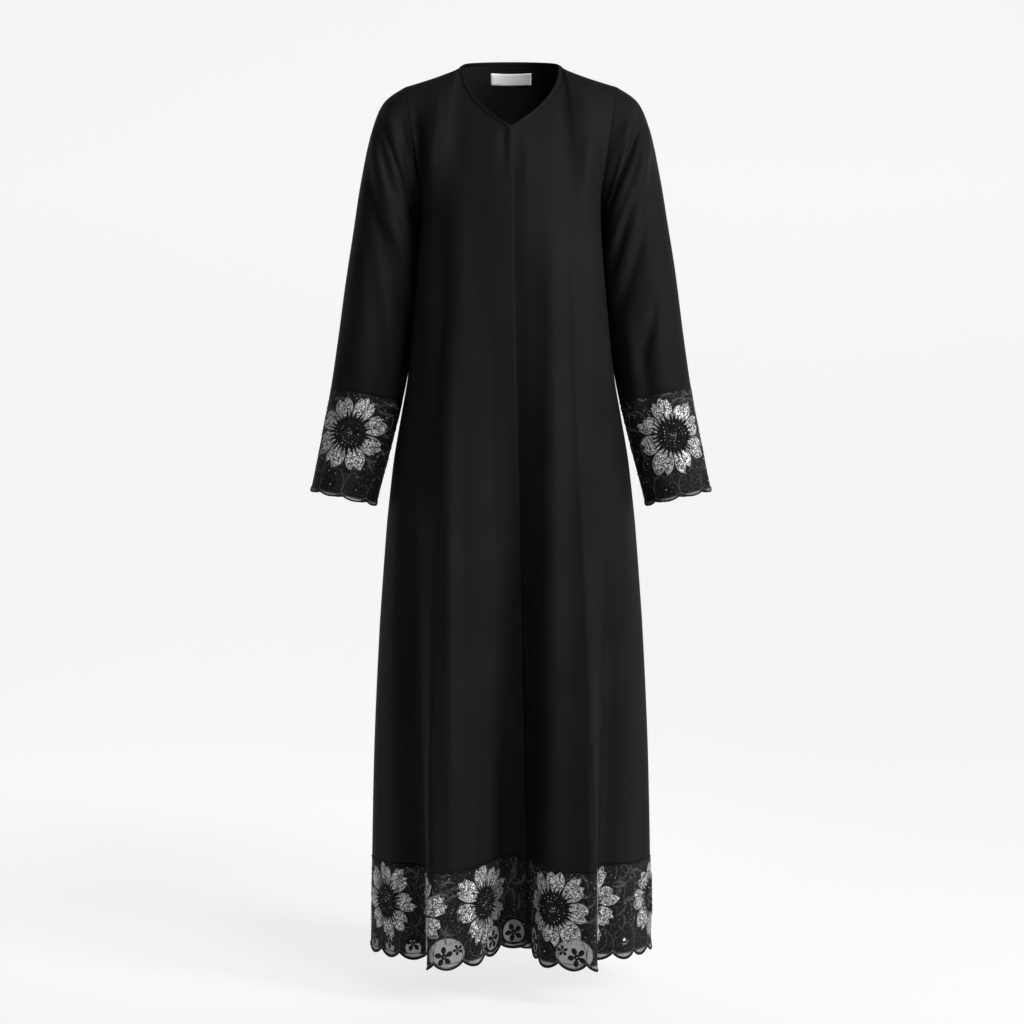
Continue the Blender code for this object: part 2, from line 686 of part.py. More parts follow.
def strip_binding(grids, normals, crepe):
    """One strip that binds the whole neckline, from the left front under the right front."""
    left = [k for k, s in enumerate(FRONT_LEFT_SHARES) if s <= 0.5 * NECK_SHARE]
    back = [k for k, s in enumerate(BACK_SHARES) if abs(s) > 1.0 - 0.5 * NECK_SHARE]
    right = [k for k, s in enumerate(FRONT_RIGHT_SHARES) if s >= -0.5 * NECK_SHARE][::-1]
    columns = [("front_left", FRONT_LEFT_SHARES[k], k) for k in left]
    columns += [("back", BACK_SHARES[k], k) for k in back]
    columns += [("front_right", FRONT_RIGHT_SHARES[k], k) for k in right]
    outer, inner = [], []
    for name, share, k in columns:
        front = name != "back"
        patch_share = abs(share) / 0.5 if front else (1.0 - abs(share)) / 0.5
        free = neck_curve(patch_share / NECK_SHARE, 0.0, front) * (1.0 if share >= 0 else -1.0, 1.0, 1.0)
        normal = normals[name][0][k]
        if name == "front_left":
            free = free - normal * under_offset(share)
        edge = grids[name][0][k]
        sewn = edge + (free - edge) * SEAM_GAP / np.linalg.norm(free - edge)
        outer.append([free, sewn])
        inner.append([free - normal * BINDING, sewn - normal * BINDING])
    return grid_wall("neck_binding", np.array(outer), np.array(inner), crepe)


def depth_on(grid, columns, x, z):
    """The depth of a panel's surface at a place in the front view, between these of its columns."""
    line = []
    for row in grid:
        near = row[columns]
        line.append([np.interp(x, near[:, 0], near[:, k]) for k in (1, 2)])
    line = np.array(line)[::-1]
    return float(np.interp(z, line[:, 1], line[:, 0]))


def make_label(grid, satin):
    """The label sewn inside the back neck, made from the back's points and moved in."""
    middle = [k for k, s in enumerate(BACK_SHARES) if abs(s) > 0.84][::-1]
    rows = []
    for z in np.linspace(LABEL_TOP_Z, LABEL_TOP_Z - LABEL_HEIGHT, 4):
        row = []
        for x in np.linspace(-LABEL_WIDTH / 2, LABEL_WIDTH / 2, 9):
            y = depth_on(grid[: PATCH_ROWS - 2], middle, x, z) - CLOTH - LABEL_GAP
            row.append([x, y, z])
        rows.append(row)
    outer = np.array(rows)
    return grid_wall("neck_label", outer, outer - np.array([0.0, LABEL, 0.0]), satin)


def scallop_edge(along, start, width, height):
    """How far down the lace reaches at a place along it: round lobes with peaks between them."""
    share = ((along - start) / width) % 1.0
    return height - SCALLOP_DEPTH + SCALLOP_DEPTH * math.sin(math.pi * share) ** 0.7


def flower_points(centre, turn, pattern):
    """Points of one part of each petal, as places on the lace."""
    half = math.pi / PETALS
    points = []
    for k in range(PETALS):
        for reach, lean in pattern:
            angle = turn + 2 * half * k + lean * half
            radius = FLOWER_RADIUS * reach
            points.append((centre[0] + radius * math.cos(angle), centre[1] + radius * math.sin(angle)))
    return points


def inside(polygon, point):
    x, y = point
    found = False
    for (x0, y0), (x1, y1) in zip(polygon, polygon[1:] + polygon[:1]):
        if (y0 > y) != (y1 > y) and x < x0 + (y - y0) * (x1 - x0) / (y1 - y0):
            found = not found
    return found


def distance_to(polygon, point):
    best = 1.0
    here = Vector(point)
    for start, end in zip(polygon, polygon[1:] + polygon[:1]):
        a, b = Vector(start), Vector(end)
        along = b - a
        share = min(1.0, max(0.0, (here - a).dot(along) / along.length_squared))
        best = min(best, (here - a - share * along).length)
    return best


def crescent(lobe_start, width, height):
    """The outline of the opening behind one scallop's edge."""
    def edge(share):
        return scallop_edge(lobe_start + share * width, lobe_start, width, height) - CRESCENT_INSET

    outline = [(lobe_start + s * width, edge(s)) for s in CRESCENT_OUTER]
    outline += [(lobe_start + s * width, edge(0.5) - CRESCENT_HEIGHT) for s in CRESCENT_INNER]
    return outline


def flat_lace(start, end, height, columns, corner_columns, scallop_width, flowers, relief):
    """One lace piece drawn flat: its places, triangles and heights. With no relief it is the plain inside."""
    lobes = max(1, round((end - start) / scallop_width))
    width = (end - start) / lobes
    bottom = [start + (k + s) * width for k in range(lobes) for s in SCALLOP_POINTS] + [end]
    bottom = sorted(bottom + [c for c in columns if min(abs(c - b) for b in bottom) > 0.0008])
    snapped = [min(bottom, key=lambda b: abs(b - c)) for c in columns]
    outline = [(c, 0.0) for c in columns]
    outline += [(b, scallop_edge(min(b, end - 1e-6), start, width, height)) for b in reversed(bottom)]
    holes = [crescent(start + k * width, width, height) for k in range(lobes)]
    places, edges, heights = [], [], []

    def add_loop(loop, value=0.0):
        first = len(places)
        places.extend(loop)
        heights.extend([value] * len(loop))
        edges.extend((first + k, first + (k + 1) % len(loop)) for k in range(len(loop)))

    add_loop(outline)
    for hole in holes:
        add_loop(hole)
    petals = [flower_points(centre, turn, PETAL_OUTLINE) for centre, turn in flowers]
    for k, (column, foot) in enumerate(zip(columns, snapped)):
        if k in (0, len(columns) - 1):
            continue
        crossed = [p for p, (c, _) in zip(petals, flowers) if abs(c[0] - column) < FLOWER_RADIUS]
        top = k
        if relief and crossed and k not in corner_columns:
            below_flower = 1.0 - (SCALLOP_DEPTH + 2 * CRESCENT_HEIGHT + CRESCENT_INSET) / height
            top = len(places)
            places.append((column + (foot - column) * below_flower, height * below_flower))
            heights.append(0.0)
        edges.append((top, next(i for i, p in enumerate(places) if p[0] == foot and p[1] > 0.0)))
        if relief:
            for polygon in crossed:
                for v in np.arange(CORNER_POINT_STEP, height, CORNER_POINT_STEP):
                    point = (column + (foot - column) * v / height, float(v))
                    if inside(polygon, point) and distance_to(polygon, point) > 0.003:
                        places.append(point)
                        heights.append(PETAL_HEIGHT)
    if relief:
        for (centre, turn), polygon in zip(flowers, petals):
            add_loop(polygon)
            for point in flower_points(centre, turn, PETAL_RIDGE):
                places.append(point)
                heights.append(PETAL_HEIGHT)
            for point in flower_points(centre, turn, ((CENTRE_RING, 0.0),))[::2]:
                places.append(point)
                heights.append(CENTRE_HEIGHT)
    made, _, triangles, origin, _, _ = delaunay_2d_cdt([Vector(p) for p in places], edges, [], 0, 1e-6)
    made_heights = [max((heights[k] for k in ids), default=0.0) for ids in origin]
    kept = []
    for triangle in triangles:
        middle = tuple(sum(made[k][axis] for k in triangle) / 3 for axis in (0, 1))
        if inside(outline, middle) and not any(inside(hole, middle) for hole in holes):
            kept.append(list(triangle))
    return [tuple(v) for v in made], kept, made_heights


def boundary_edges(triangles):
    """The directed edges that only one triangle has."""
    found = {}
    for a, b, c in triangles:
        for edge in ((a, b), (b, c), (c, a)):
            found[edge] = True
    return [edge for edge in found if edge[::-1] not in found]


def lace_wall(name, wrap, flat_outside, flat_inside, material):
    """A lace piece as a wall: its flat drawing wrapped on the garment, raised outside and plain inside."""
    outside, out_faces, heights = flat_outside
    lining, in_faces, _ = flat_inside
    points = [wrap(place, height) for place, height in zip(outside, heights)]
    first = len(points)
    points += [wrap(place, -LACE) for place in lining]
    faces = [list(f) for f in out_faces]
    faces += [[first + c, first + b, first + a] for a, b, c in in_faces]
    rim = sorted({k for edge in boundary_edges(in_faces) for k in edge})

    def below(k):
        x, y = outside[k]
        return first + min(rim, key=lambda other: math.hypot(lining[other][0] - x, lining[other][1] - y))

    for a, b in boundary_edges(out_faces):
        faces.append([b, a, below(a), below(b)])
    used = sorted({k for face in faces for k in face})
    index = {k: n for n, k in enumerate(used)}
    points = [points[k] for k in used]
    faces = [[index[k] for k in face] for face in faces]
    return solid_from_faces(name, points, faces, material)


def ruled_wrap(columns, tops, bottoms, normals, height, drop):
    """A function that puts a flat place on the strips between matching points of two rings."""
    columns = np.array(columns)

    def wrap(place, out):
        along, down = place
        down = (down + drop * (1.0 - down / height)) / height
        line = tops + (bottoms - tops) * down
        point = np.array([np.interp(along, columns, line[:, k]) for k in range(3)])
        normal = np.array([np.interp(along, columns, normals[:, k]) for k in range(3)])
        return point + normal * out / max(0.5, np.linalg.norm(normal))

    return wrap


def strip_normals(tops, bottoms, outward):
    """Normals at the inner columns of a strip, and how sharply it turns at each. The strip has one more
    column at each end than the piece, to share its seams' normals with the next piece."""
    strips = []
    for k in range(len(tops) - 1):
        across = (tops[k + 1] - tops[k]) + (bottoms[k + 1] - bottoms[k])
        down = (bottoms[k] - tops[k]) + (bottoms[k + 1] - tops[k + 1])
        normal = np.cross(across, down)
        strips.append(normal / np.linalg.norm(normal))
    sign = math.copysign(1.0, sum(n @ outward(tops[k]) for k, n in enumerate(strips)))
    normals, turns = [], []
    for before, after in zip(strips, strips[1:]):
        mean = (before + after) * sign
        mean /= np.linalg.norm(mean)
        normals.append(mean / max(0.8, sign * float(mean @ after)))
        turns.append(math.acos(float(np.clip(before @ after, -1, 1))))
    return np.array(normals), turns


def lace_piece(name, places, tops, bottoms, normals, turns, height, scallop_width, material):
    flowers = [((along, down), turn) for along, down, turn in FLOWERS[name]]
    corner_columns = {k for k, turn in enumerate(turns) if turn > CORNER_TURN}
    wrap = ruled_wrap(places, tops, bottoms, normals, height, SEAM_GAP / 2)
    ends = (places[0] + SEAM_GAP / 2, places[-1] - SEAM_GAP / 2)
    columns = [ends[0]] + list(places[1:-1]) + [ends[1]]
    drawn = [
        flat_lace(ends[0], ends[1], height, columns, corner_columns, scallop_width, flowers, relief)
        for relief in (True, False)
    ]
    return lace_wall(name, wrap, drawn[0], drawn[1], material)


def away_from_body(point):
    return point * (1.0, 1.0, 0.0)


def hem_lace(name, shares, before, after, material):
    """A piece of the hem's border, below the body's panels with the same columns. The shares before and
    after it are those of its neighbours' nearest columns."""
    around = [before] + list(shares) + [after]
    tops, bottoms = skirt_ring(LACE_TOP_Z, around), skirt_ring(HEM_Z, around)
    normals, turns = strip_normals(tops, bottoms, away_from_body)
    tops, bottoms = tops[1:-1], bottoms[1:-1]
    along = [drifted(s, HEM_Z) for s in shares]
    if name == "hem_lace_front_right":
        places = [-s * RIGHT_LENGTH for s in along]
    else:
        places = [s * LEFT_LENGTH if s > -0.1 else LEFT_LENGTH + (1.0 + s) * RIGHT_LENGTH for s in along]
    if name == "hem_lace_front_left":
        offsets = np.array([under_offset(s) for s in shares])[:, None]
        tops, bottoms = tops - normals * offsets, bottoms - normals * offsets
    if name == "hem_lace_back":
        places = [place - along[0] * LEFT_LENGTH for place in places]
    height = LACE_TOP_Z - HEM_Z
    return lace_piece(name, places, tops, bottoms, normals, turns, height, HEM_SCALLOP_WIDTH, material)


def cuff_lace(name, side, front, material):
    """Half of a cuff's lace tube."""
    sign = 1.0 if front else -1.0
    angles = [sign * math.pi * k / PATCH_ROWS for k in range(-1, PATCH_ROWS + 2)]
    angles = [a if abs(a) <= math.pi else a - math.copysign(2 * math.pi, a) for a in angles]
    tops = np.array([sleeve_point(a, CUFF_TOP_SHARE, side) for a in angles])
    bottoms = np.array([sleeve_point(a, 1.0, side) for a in angles])
    axis = (tops + bottoms).mean(axis=0) / 2 * (1.0, 0.0, 1.0)
    normals, turns = strip_normals(tops, bottoms, lambda p: (p - axis) * (1.0, 1.0, 0.0))
    tops, bottoms = tops[1:-1], bottoms[1:-1]
    middle = (tops + bottoms) / 2
    places = np.concatenate([[0.0], np.cumsum(np.linalg.norm(np.diff(middle, axis=0), axis=1))])
    height = float(np.mean(np.linalg.norm(bottoms - tops, axis=1)))
    return lace_piece(name, list(places), tops, bottoms, normals, turns, height, CUFF_SCALLOP_WIDTH, material)


for old in list(bpy.data.objects):
    bpy.data.objects.remove(old)

PARTS = bpy.data.collections.new("abaya")
bpy.context.scene.collection.children.link(PARTS)


def main():
    crepe = cloth_material(*BLACK_CREPE)
    lace = cloth_material(*BLACK_LACE)
    satin = cloth_material(*LABEL_SATIN)
    grids, normals = make_panels(crepe)
    strip_binding(grids, normals, crepe)
    make_label(grids["back"], satin)
    left, right, back = FRONT_LEFT_SHARES, FRONT_RIGHT_SHARES, BACK_SHARES
    joint = LACE_JOINT_COLUMN
    hem_lace("hem_lace_front_left", left + back[1 : joint + 1], -UNDER_RAMP, back[joint + 1], lace)
    hem_lace("hem_lace_front_right", right, UNDER_RAMP, back[-2], lace)
    hem_lace("hem_lace_back", back[joint:], back[joint - 1], right[-2], lace)
    for side, word in ((1.0, "left"), (-1.0, "right")):
        cuff_lace(f"cuff_lace_{word}_front", side, True, lace)
        cuff_lace(f"cuff_lace_{word}_back", side, False, lace)


main()
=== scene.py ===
"""The looks of the abaya: black crepe with its seams and creases, and corded lace with sequined flowers.

Blender 4.5 script, metres, +Z up, in the same frame as the solids. The crepe is made as thin sheets on the
form of the solids, finer than they are, with creases placed one by one. The lace is drawn flat, as distances
along its top edge and down from it, and laid on the hem and the cuffs.
"""

import math

import bpy
import numpy as np
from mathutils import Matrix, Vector


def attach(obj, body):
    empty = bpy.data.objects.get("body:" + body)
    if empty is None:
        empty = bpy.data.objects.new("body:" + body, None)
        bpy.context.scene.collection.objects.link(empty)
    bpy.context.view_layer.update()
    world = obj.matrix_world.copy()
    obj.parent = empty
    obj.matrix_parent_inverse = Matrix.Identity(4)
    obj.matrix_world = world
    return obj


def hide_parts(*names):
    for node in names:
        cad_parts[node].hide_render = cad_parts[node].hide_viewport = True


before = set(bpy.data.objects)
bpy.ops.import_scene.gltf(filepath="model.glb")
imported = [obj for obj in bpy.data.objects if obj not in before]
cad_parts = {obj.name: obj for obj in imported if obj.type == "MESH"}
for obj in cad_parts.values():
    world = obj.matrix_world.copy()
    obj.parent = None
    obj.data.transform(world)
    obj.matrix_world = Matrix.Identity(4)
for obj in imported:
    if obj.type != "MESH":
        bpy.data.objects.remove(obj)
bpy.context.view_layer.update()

SCENE = bpy.context.scene
RANDOM = np.random.default_rng(23)

# Photograph: its size in pixels, its scale at the garment's middle, and the camera's place
IMAGE_SIZE = 1024
SENSOR = 36.0
PIXELS_PER_METRE = 641.0
CAMERA_PLACE = (0.0016, -3.0, -0.693)

# Heights on the figure, from the neck points down
UNDERARM_Z = -0.235
FOLDS_START_Z = -0.34
LACE_TOP_Z = -1.2255
HEM_Z = -1.369
FOLD_GROWTH = 1.25
CENTRE_LIFT = 0.013
CENTRE_LIFT_SHARE = 0.10
SIDE_DROP = 0.005

# Neckline, shoulder and armhole
NECK_HALF_WIDTH = 0.0745
NECK_POINT_Z = 0.003
FRONT_NECK_DROP = 0.112
FRONT_NECK_REACH = 0.094
FRONT_NECK_POWER = 2.1
BACK_NECK_RISE = 0.019
BACK_NECK_REACH = 0.056
BINDING_WIDTH = 0.0055
SHOULDER_TIP = (0.165, -0.031)
SHOULDER_SAG = 0.84
NECK_SHARE = 0.5
FRONT_ARMHOLE_DEPTH = 0.062
BACK_ARMHOLE_DEPTH = 0.068
SHOULDER_FULLNESS = 0.068
FRONT_ROUNDNESS = 2.0
BACK_ROUNDNESS = 2.5

# Front overlap, as shares of half the body's width of cloth, and how far the under edge is set in
OVER_LAP = 0.004
UNDER_LAP = 0.034
UNDER_RAMP = 0.050
UNDER_DEPTH = 0.0024
DRIFT_START_Z = -0.11
EDGE_DRIFT = 0.020

# Label inside the back neck
LABEL_WIDTH = 0.064
LABEL_HEIGHT = 0.0172
LABEL_TOP_Z = 0.004

OVAL_POWER = 2.35
HOLLOW_SPREAD = math.radians(20)

# Ovals of the figure: z, half width, front depth, back depth, hollow where the arm lies
OVALS = (
    (-0.235, 0.1520, 0.122, 0.112, 0.0170),
    (-0.300, 0.1585, 0.126, 0.113, 0.0265),
    (-0.370, 0.1640, 0.128, 0.115, 0.0255),
    (-0.460, 0.1680, 0.128, 0.118, 0.0175),
    (-0.530, 0.1710, 0.127, 0.121, 0.0090),
    (-0.610, 0.1765, 0.126, 0.124, 0.0020),
    (-0.705, 0.1840, 0.126, 0.126, 0.0000),
    (-0.860, 0.1945, 0.126, 0.126, 0.0000),
    (-1.080, 0.2060, 0.126, 0.126, 0.0000),
    (-1.374, 0.2120, 0.126, 0.126, 0.0000),
)

# Plan of the hem, anticlockwise from the centre front as seen from above: name, x, y, corner radius
HEM_PLAN = (
    ("centre front valley", 0.014, -0.036, 0.026),
    ("left flute, inner", 0.046, -0.160, 0.024),
    ("left flute, outer", 0.129, -0.180, 0.011),
    ("left flute, foot", 0.121, -0.086, 0.016),
    ("left side, front", 0.172, -0.082, 0.045),
    ("left side", 0.2240, -0.004, 0.070),
    ("left side, back", 0.205, 0.082, 0.030),
    ("left back valley", 0.142, 0.078, 0.020),
    ("left back flute, outer", 0.136, 0.158, 0.024),
    ("left back flute, inner", 0.070, 0.164, 0.026),
    ("left back inner valley", 0.046, 0.086, 0.022),
    ("centre back flute, left", 0.030, 0.168, 0.026),
    ("centre back", 0.000, 0.174, 0.030),
    ("centre back flute, right", -0.034, 0.166, 0.026),
    ("right back inner valley", -0.052, 0.084, 0.022),
    ("right back flute, inner", -0.074, 0.160, 0.026),
    ("right back flute, outer", -0.138, 0.154, 0.024),
    ("right back valley", -0.146, 0.080, 0.020),
    ("right side, back", -0.205, 0.080, 0.030),
    ("right side", -0.2240, -0.006, 0.070),
    ("right side, front", -0.168, -0.082, 0.045),
    ("right flute, foot", -0.120, -0.084, 0.016),
    ("right flute, outer", -0.125, -0.178, 0.011),
    ("right flute, inner", -0.052, -0.150, 0.032),
)
CENTRE_BACK = 12

# Rings of a sleeve: outer x and z, inner x and z, reach to the front and to the back
SLEEVE_RINGS = (
    (0.1650, -0.031, 0.1350, -0.235, 0.062, 0.068),
    (0.1985, -0.0565, 0.1362, -0.243, 0.068, 0.072),
    (0.2180, -0.105, 0.1378, -0.260, 0.071, 0.074),
    (0.2340, -0.180, 0.1345, -0.303, 0.070, 0.073),
    (0.2470, -0.265, 0.1393, -0.353, 0.067, 0.070),
    (0.2590, -0.345, 0.1480, -0.408, 0.064, 0.066),
    (0.2695, -0.423, 0.1580, -0.464, 0.060, 0.062),
    (0.2810, -0.501, 0.1695, -0.522, 0.056, 0.058),
    (0.2960, -0.580, 0.1895, -0.603, 0.053, 0.054),
    (0.3120, -0.661, 0.2110, -0.684, 0.051, 0.052),
)
CUFF_TOP_SHARE = 7 / 9
SLEEVE_LENGTH = 0.62
SLEEVE_RADIUS = 0.060

# Large folds of a sleeve, from one angle and share of its length to another: name, degrees, shares, width,
# height. The angle is 0 on the outer line, 90 at the front and -90 at the back.
SLEEVE_FOLDS = (
    ("armpit valley", 40, 0.14, 128, 0.20, 0.016, -0.010),
    ("armpit ridge", 34, 0.22, 120, 0.33, 0.016, 0.006),
    ("elbow valley", 48, 0.30, 124, 0.52, 0.017, -0.008),
    ("forearm ridge", 52, 0.42, 88, 0.74, 0.020, 0.004),
    ("wrist valley", 100, 0.62, 112, 0.84, 0.016, -0.006),
    ("back armpit valley", -44, 0.15, -128, 0.24, 0.017, -0.010),
    ("back elbow valley", -52, 0.34, -118, 0.50, 0.017, -0.007),
    ("back wrist valley", -84, 0.56, -100, 0.80, 0.018, -0.005),
)

# Large folds of the upper front and back, in the front view: name, side, x and z of both ends, width, height
BODY_FOLDS = (
    ("left armpit fold", -1, 0.148, -0.150, 0.140, -0.330, 0.011, -0.004),
    ("left bust drape", -1, 0.118, -0.170, 0.108, -0.520, 0.022, 0.004),
    ("right armpit fold", -1, -0.152, -0.080, -0.144, -0.250, 0.012, -0.006),
    ("right bust drape", -1, -0.104, -0.190, -0.092, -0.540, 0.024, 0.004),
    ("left blade drape", 1, 0.104, -0.130, 0.096, -0.480, 0.024, 0.005),
    ("right blade drape", 1, -0.108, -0.140, -0.098, -0.470, 0.024, 0.005),
)

# Flowers of the lace: arc length from the centre front, or from the start of the back's piece or of a cuff's
# half, then distance down from the lace's top edge, and turn
FLOWERS = {
    "hem_lace_front_left": ((0.108, 0.055, 0.10), (0.236, 0.060, 0.45), (0.387, 0.058, 0.00)),
    "hem_lace_front_right": ((0.073, 0.056, 0.20), (0.204, 0.061, 0.30), (0.330, 0.058, 0.05)),
    "hem_lace_back": (
        (0.073, 0.062, 0.15),
        (0.220, 0.057, 0.40),
        (0.367, 0.064, 0.00),
        (0.514, 0.058, 0.30),
        (0.661, 0.063, 0.20),
    ),
    "cuff_lace_left_front": ((0.075, 0.068, 0.20),),
    "cuff_lace_left_back": ((0.080, 0.072, 0.50),),
    "cuff_lace_right_front": ((0.075, 0.064, 0.35),),
    "cuff_lace_right_back": ((0.080, 0.070, 0.25),),
}
SCALLOP_DEPTH = 0.011
HEM_SCALLOP_WIDTH = 0.044
CUFF_SCALLOP_WIDTH = 0.040
CRESCENT_HEIGHT = 0.0052
PETALS = 8
FLOWER_RADIUS = 0.053

LACE_SEAM_GAP = 0.0003
JOINT_SHARE = 0.5755251678675044

# What is worked in each scallop besides the scrolls of cord at its sides, from the start of a lace piece on,
# over and over
LOBE_KINDS = {
    "hem_lace_front_right": (
        "round", "round", "leaf", "wide", "nothing", "blossom", "blossom", "blossom", "blossom"),
    "hem_lace_front_left": (
        "nothing", "round", "posy", "wide", "nothing", "nothing", "leaf", "hole", "nothing", "nothing",
        "leaf"),
    "hem_lace_back": ("round", "leaf", "wide", "blossom", "nothing"),
    "cuff_lace_left_front": ("posy", "nothing", "posy", "nothing"),
    "cuff_lace_left_back": ("posy", "leaf", "posy", "crescent"),
    "cuff_lace_right_front": ("nothing", "posy", "crescent", "nothing"),
    "cuff_lace_right_back": ("crescent", "posy", "leaf", "posy"),
}

# Studio: the floor's height, the radius of the curve behind it, and the radius of the wall about it all
FLOOR_Z = -1.425
SWEEP_RADIUS = 2.0
SWEEP_STEPS = 12
WALL_RADIUS = 14.0

# Fine sheets: thickness, and rows and columns
CREPE = 0.0009
NET = 0.0003
SATIN = 0.0006
YOKE_ROWS = 52
SKIRT_ROWS = 130
FRONT_COLUMNS = 100
BACK_COLUMNS = 160
SLEEVE_ROWS = 120
SLEEVE_COLUMNS = 96
LACE_ROWS = 40
CUFF_ROWS = 24
CUFF_COLUMNS = 110

# Seams: how deep and how far out the cloth dips beside them, and the pitch and the wander of their puckers
SEAM_DIP = 0.0004
SEAM_REACH = 0.0036
PUCKER_PITCH = 0.0017
PUCKER_WANDER = 0.021

# Lace: how far its surface goes on below its edge, and how much of the left front's lies under the right
NET_MARGIN = 0.004
COVERED_LACE = 0.031

# Cords of the lace: half their width
EDGE_CORD = 0.0015
SEAM_CORD = 0.0009
PETAL_CORD = 0.00062
GROUND_CORD = 0.00058
PALE_CORD = 0.00055
FERN_STEM = 0.00050

# Sequins: spacing in a row, and spacing of the rows as a share of it
SEQUIN_PITCH = 0.00192
SEQUIN_ROWS = 0.87

# Large flowers: rings of dark spikes, of silver spikes and of beads. Spikes: number, start and end as shares
# of the flower's radius. Beads: number, distance as a share of it, and shade; pale shades are painted glints.
DARK_SPIKE_RINGS = ((28, 0.40, 0.68), (24, 0.20, 0.50), (16, 0.10, 0.30))
SILVER_SPIKE_RING = (28, 0.42, 0.60)
BEAD_RINGS = ((10, 0.08, 0.7), (14, 0.17, 0.6), (18, 0.26, 0.7), (22, 0.35, 0.6))
FLOWER_BEAD = 0.0007

# A broad leaf lies across its scallop at this turn
LEAF_TURN = -1.35


def eased(value):
    value = np.clip(value, 0.0, 1.0)
    return value * value * (3 - 2 * value)


def table_at(rows, place):
    """The row of numbers at a fractional place in a table, on a smooth curve through its rows."""
    rows = np.array(rows, float)
    last = len(rows) - 1
    place = min(max(place, 0.0), float(last))
    index = min(int(place), last - 1)
    t = place - index
    before = rows[max(index - 1, 0)]
    start, end = rows[index], rows[index + 1]
    after = rows[min(index + 2, last)]
    slope_in, slope_out = (end - before) / 2, (after - start) / 2
    a, b = 2 * t**3 - 3 * t**2 + 1, t**3 - 2 * t**2 + t
    c, d = 3 * t**2 - 2 * t**3, t**3 - t**2
    return a * start + b * slope_in + c * end + d * slope_out


def even_shares(points):
    """The share of a line's length at each of its points, and the length."""
    steps = np.linalg.norm(np.diff(points, axis=0), axis=1)
    along = np.concatenate([[0.0], np.cumsum(steps)])
    return along / along[-1], along[-1]


def at_share(line, shares):
    """Points at these shares of the length of a line."""
    along, _ = even_shares(line)
    return np.stack([np.interp(shares, along, line[:, k]) for k in range(line.shape[1])], axis=-1)


def oval_at(z):
    """The left half of the figure's oval at a height, from the centre front to the centre back."""
    heights = [row[0] for row in OVALS]
    place = np.interp(-z, [-h for h in heights], range(len(heights)))
    half_width, front, back, hollow = table_at([row[1:] for row in OVALS], place)
    angle = np.linspace(0.0, math.pi, 361)
    power = 2 / OVAL_POWER
    x = half_width * np.sin(angle).clip(0) ** power
    x = x - hollow * np.exp(-(((angle - math.pi / 2) / HOLLOW_SPREAD) ** 2))
    depth = np.where(angle < math.pi / 2, front, back)
    y = -depth * np.sign(np.cos(angle)) * np.abs(np.cos(angle)) ** power
    x[0] = x[-1] = 0.0
    return np.stack([x, y], axis=1)


def rounded_plan(rows):
    """The hem's plan as a closed line with rounded corners, and the number of each corner's middle point."""
    corners = np.array([row[1:3] for row in rows], float)
    line, middles = [], []
    count = len(corners)
    for k, (_, _, _, radius) in enumerate(rows):
        here = corners[k]
        to_last = corners[k - 1] - here
        to_next = corners[(k + 1) % count] - here
        room = 0.48 * min(np.linalg.norm(to_last), np.linalg.norm(to_next))
        to_last, to_next = to_last / np.linalg.norm(to_last), to_next / np.linalg.norm(to_next)
        half_angle = 0.5 * math.acos(float(np.clip(to_last @ to_next, -1, 1)))
        cut = min(radius / math.tan(half_angle), room)
        radius = cut * math.tan(half_angle)
        bisector = (to_last + to_next) / np.linalg.norm(to_last + to_next)
        centre = here + bisector * radius / math.sin(half_angle)
        start, end = here + to_last * cut - centre, here + to_next * cut - centre
        sweep = math.pi - 2 * half_angle
        turn = math.copysign(1.0, start[0] * end[1] - start[1] * end[0])
        first = math.atan2(start[1], start[0])
        angles = first + turn * np.linspace(0.0, sweep, 13)
        arc = centre + radius * np.stack([np.cos(angles), np.sin(angles)], axis=1)
        middles.append(len(line) + 6)
        line.extend(arc)
    return np.array(line), middles


PLAN_LINE, PLAN_MIDDLES = rounded_plan(HEM_PLAN)
PLAN_FRONT, PLAN_BACK = PLAN_MIDDLES[0], PLAN_MIDDLES[CENTRE_BACK]
PLAN_LEFT = PLAN_LINE[PLAN_FRONT : PLAN_BACK + 1]
PLAN_RIGHT = np.concatenate([PLAN_LINE[: PLAN_FRONT + 1][::-1], PLAN_LINE[PLAN_BACK:][::-1]])
LEFT_LENGTH = even_shares(PLAN_LEFT)[1]
RIGHT_LENGTH = even_shares(PLAN_RIGHT)[1]


def folds_at(z):
    """How far the hem's folds have opened at a height, from 0 to 1."""
    return max(0.0, (FOLDS_START_Z - z) / (FOLDS_START_Z - HEM_Z)) ** FOLD_GROWTH


def fold_heights(folds, places):
    """Height added at places by soft ridges and valleys, each along a segment between two places."""
    height = np.zeros(len(places))
    for start, end, width, depth in folds:
        along = end - start
        share = np.clip((places - start) @ along / (along @ along), 0.0, 1.0)
        away = np.linalg.norm(places - start - share[:, None] * along, axis=1)
        taper = 0.25 + 0.75 * np.sin(math.pi * np.minimum(1.0, 0.1 + 0.8 * share))
        height += depth * taper * np.exp(-((away / width) ** 2))
    return height


FRONT_FOLDS = [(np.array(r[2:4]), np.array(r[4:6]), r[6], r[7]) for r in BODY_FOLDS if r[1] < 0]
BACK_FOLDS = [(np.array(r[2:4]), np.array(r[4:6]), r[6], r[7]) for r in BODY_FOLDS if r[1] > 0]


def folded(points, fade=1.0):
    """Points of the body moved out by the large folds of the upper front or back."""
    places = points[:, [0, 2]]
    y = points[:, 1]
    height = np.where(y < 0, fold_heights(FRONT_FOLDS, places), fold_heights(BACK_FOLDS, places))
    moved = points.copy()
    moved[:, 1] += np.sign(y) * height * eased(np.abs(y) / 0.03) * fade
    return moved


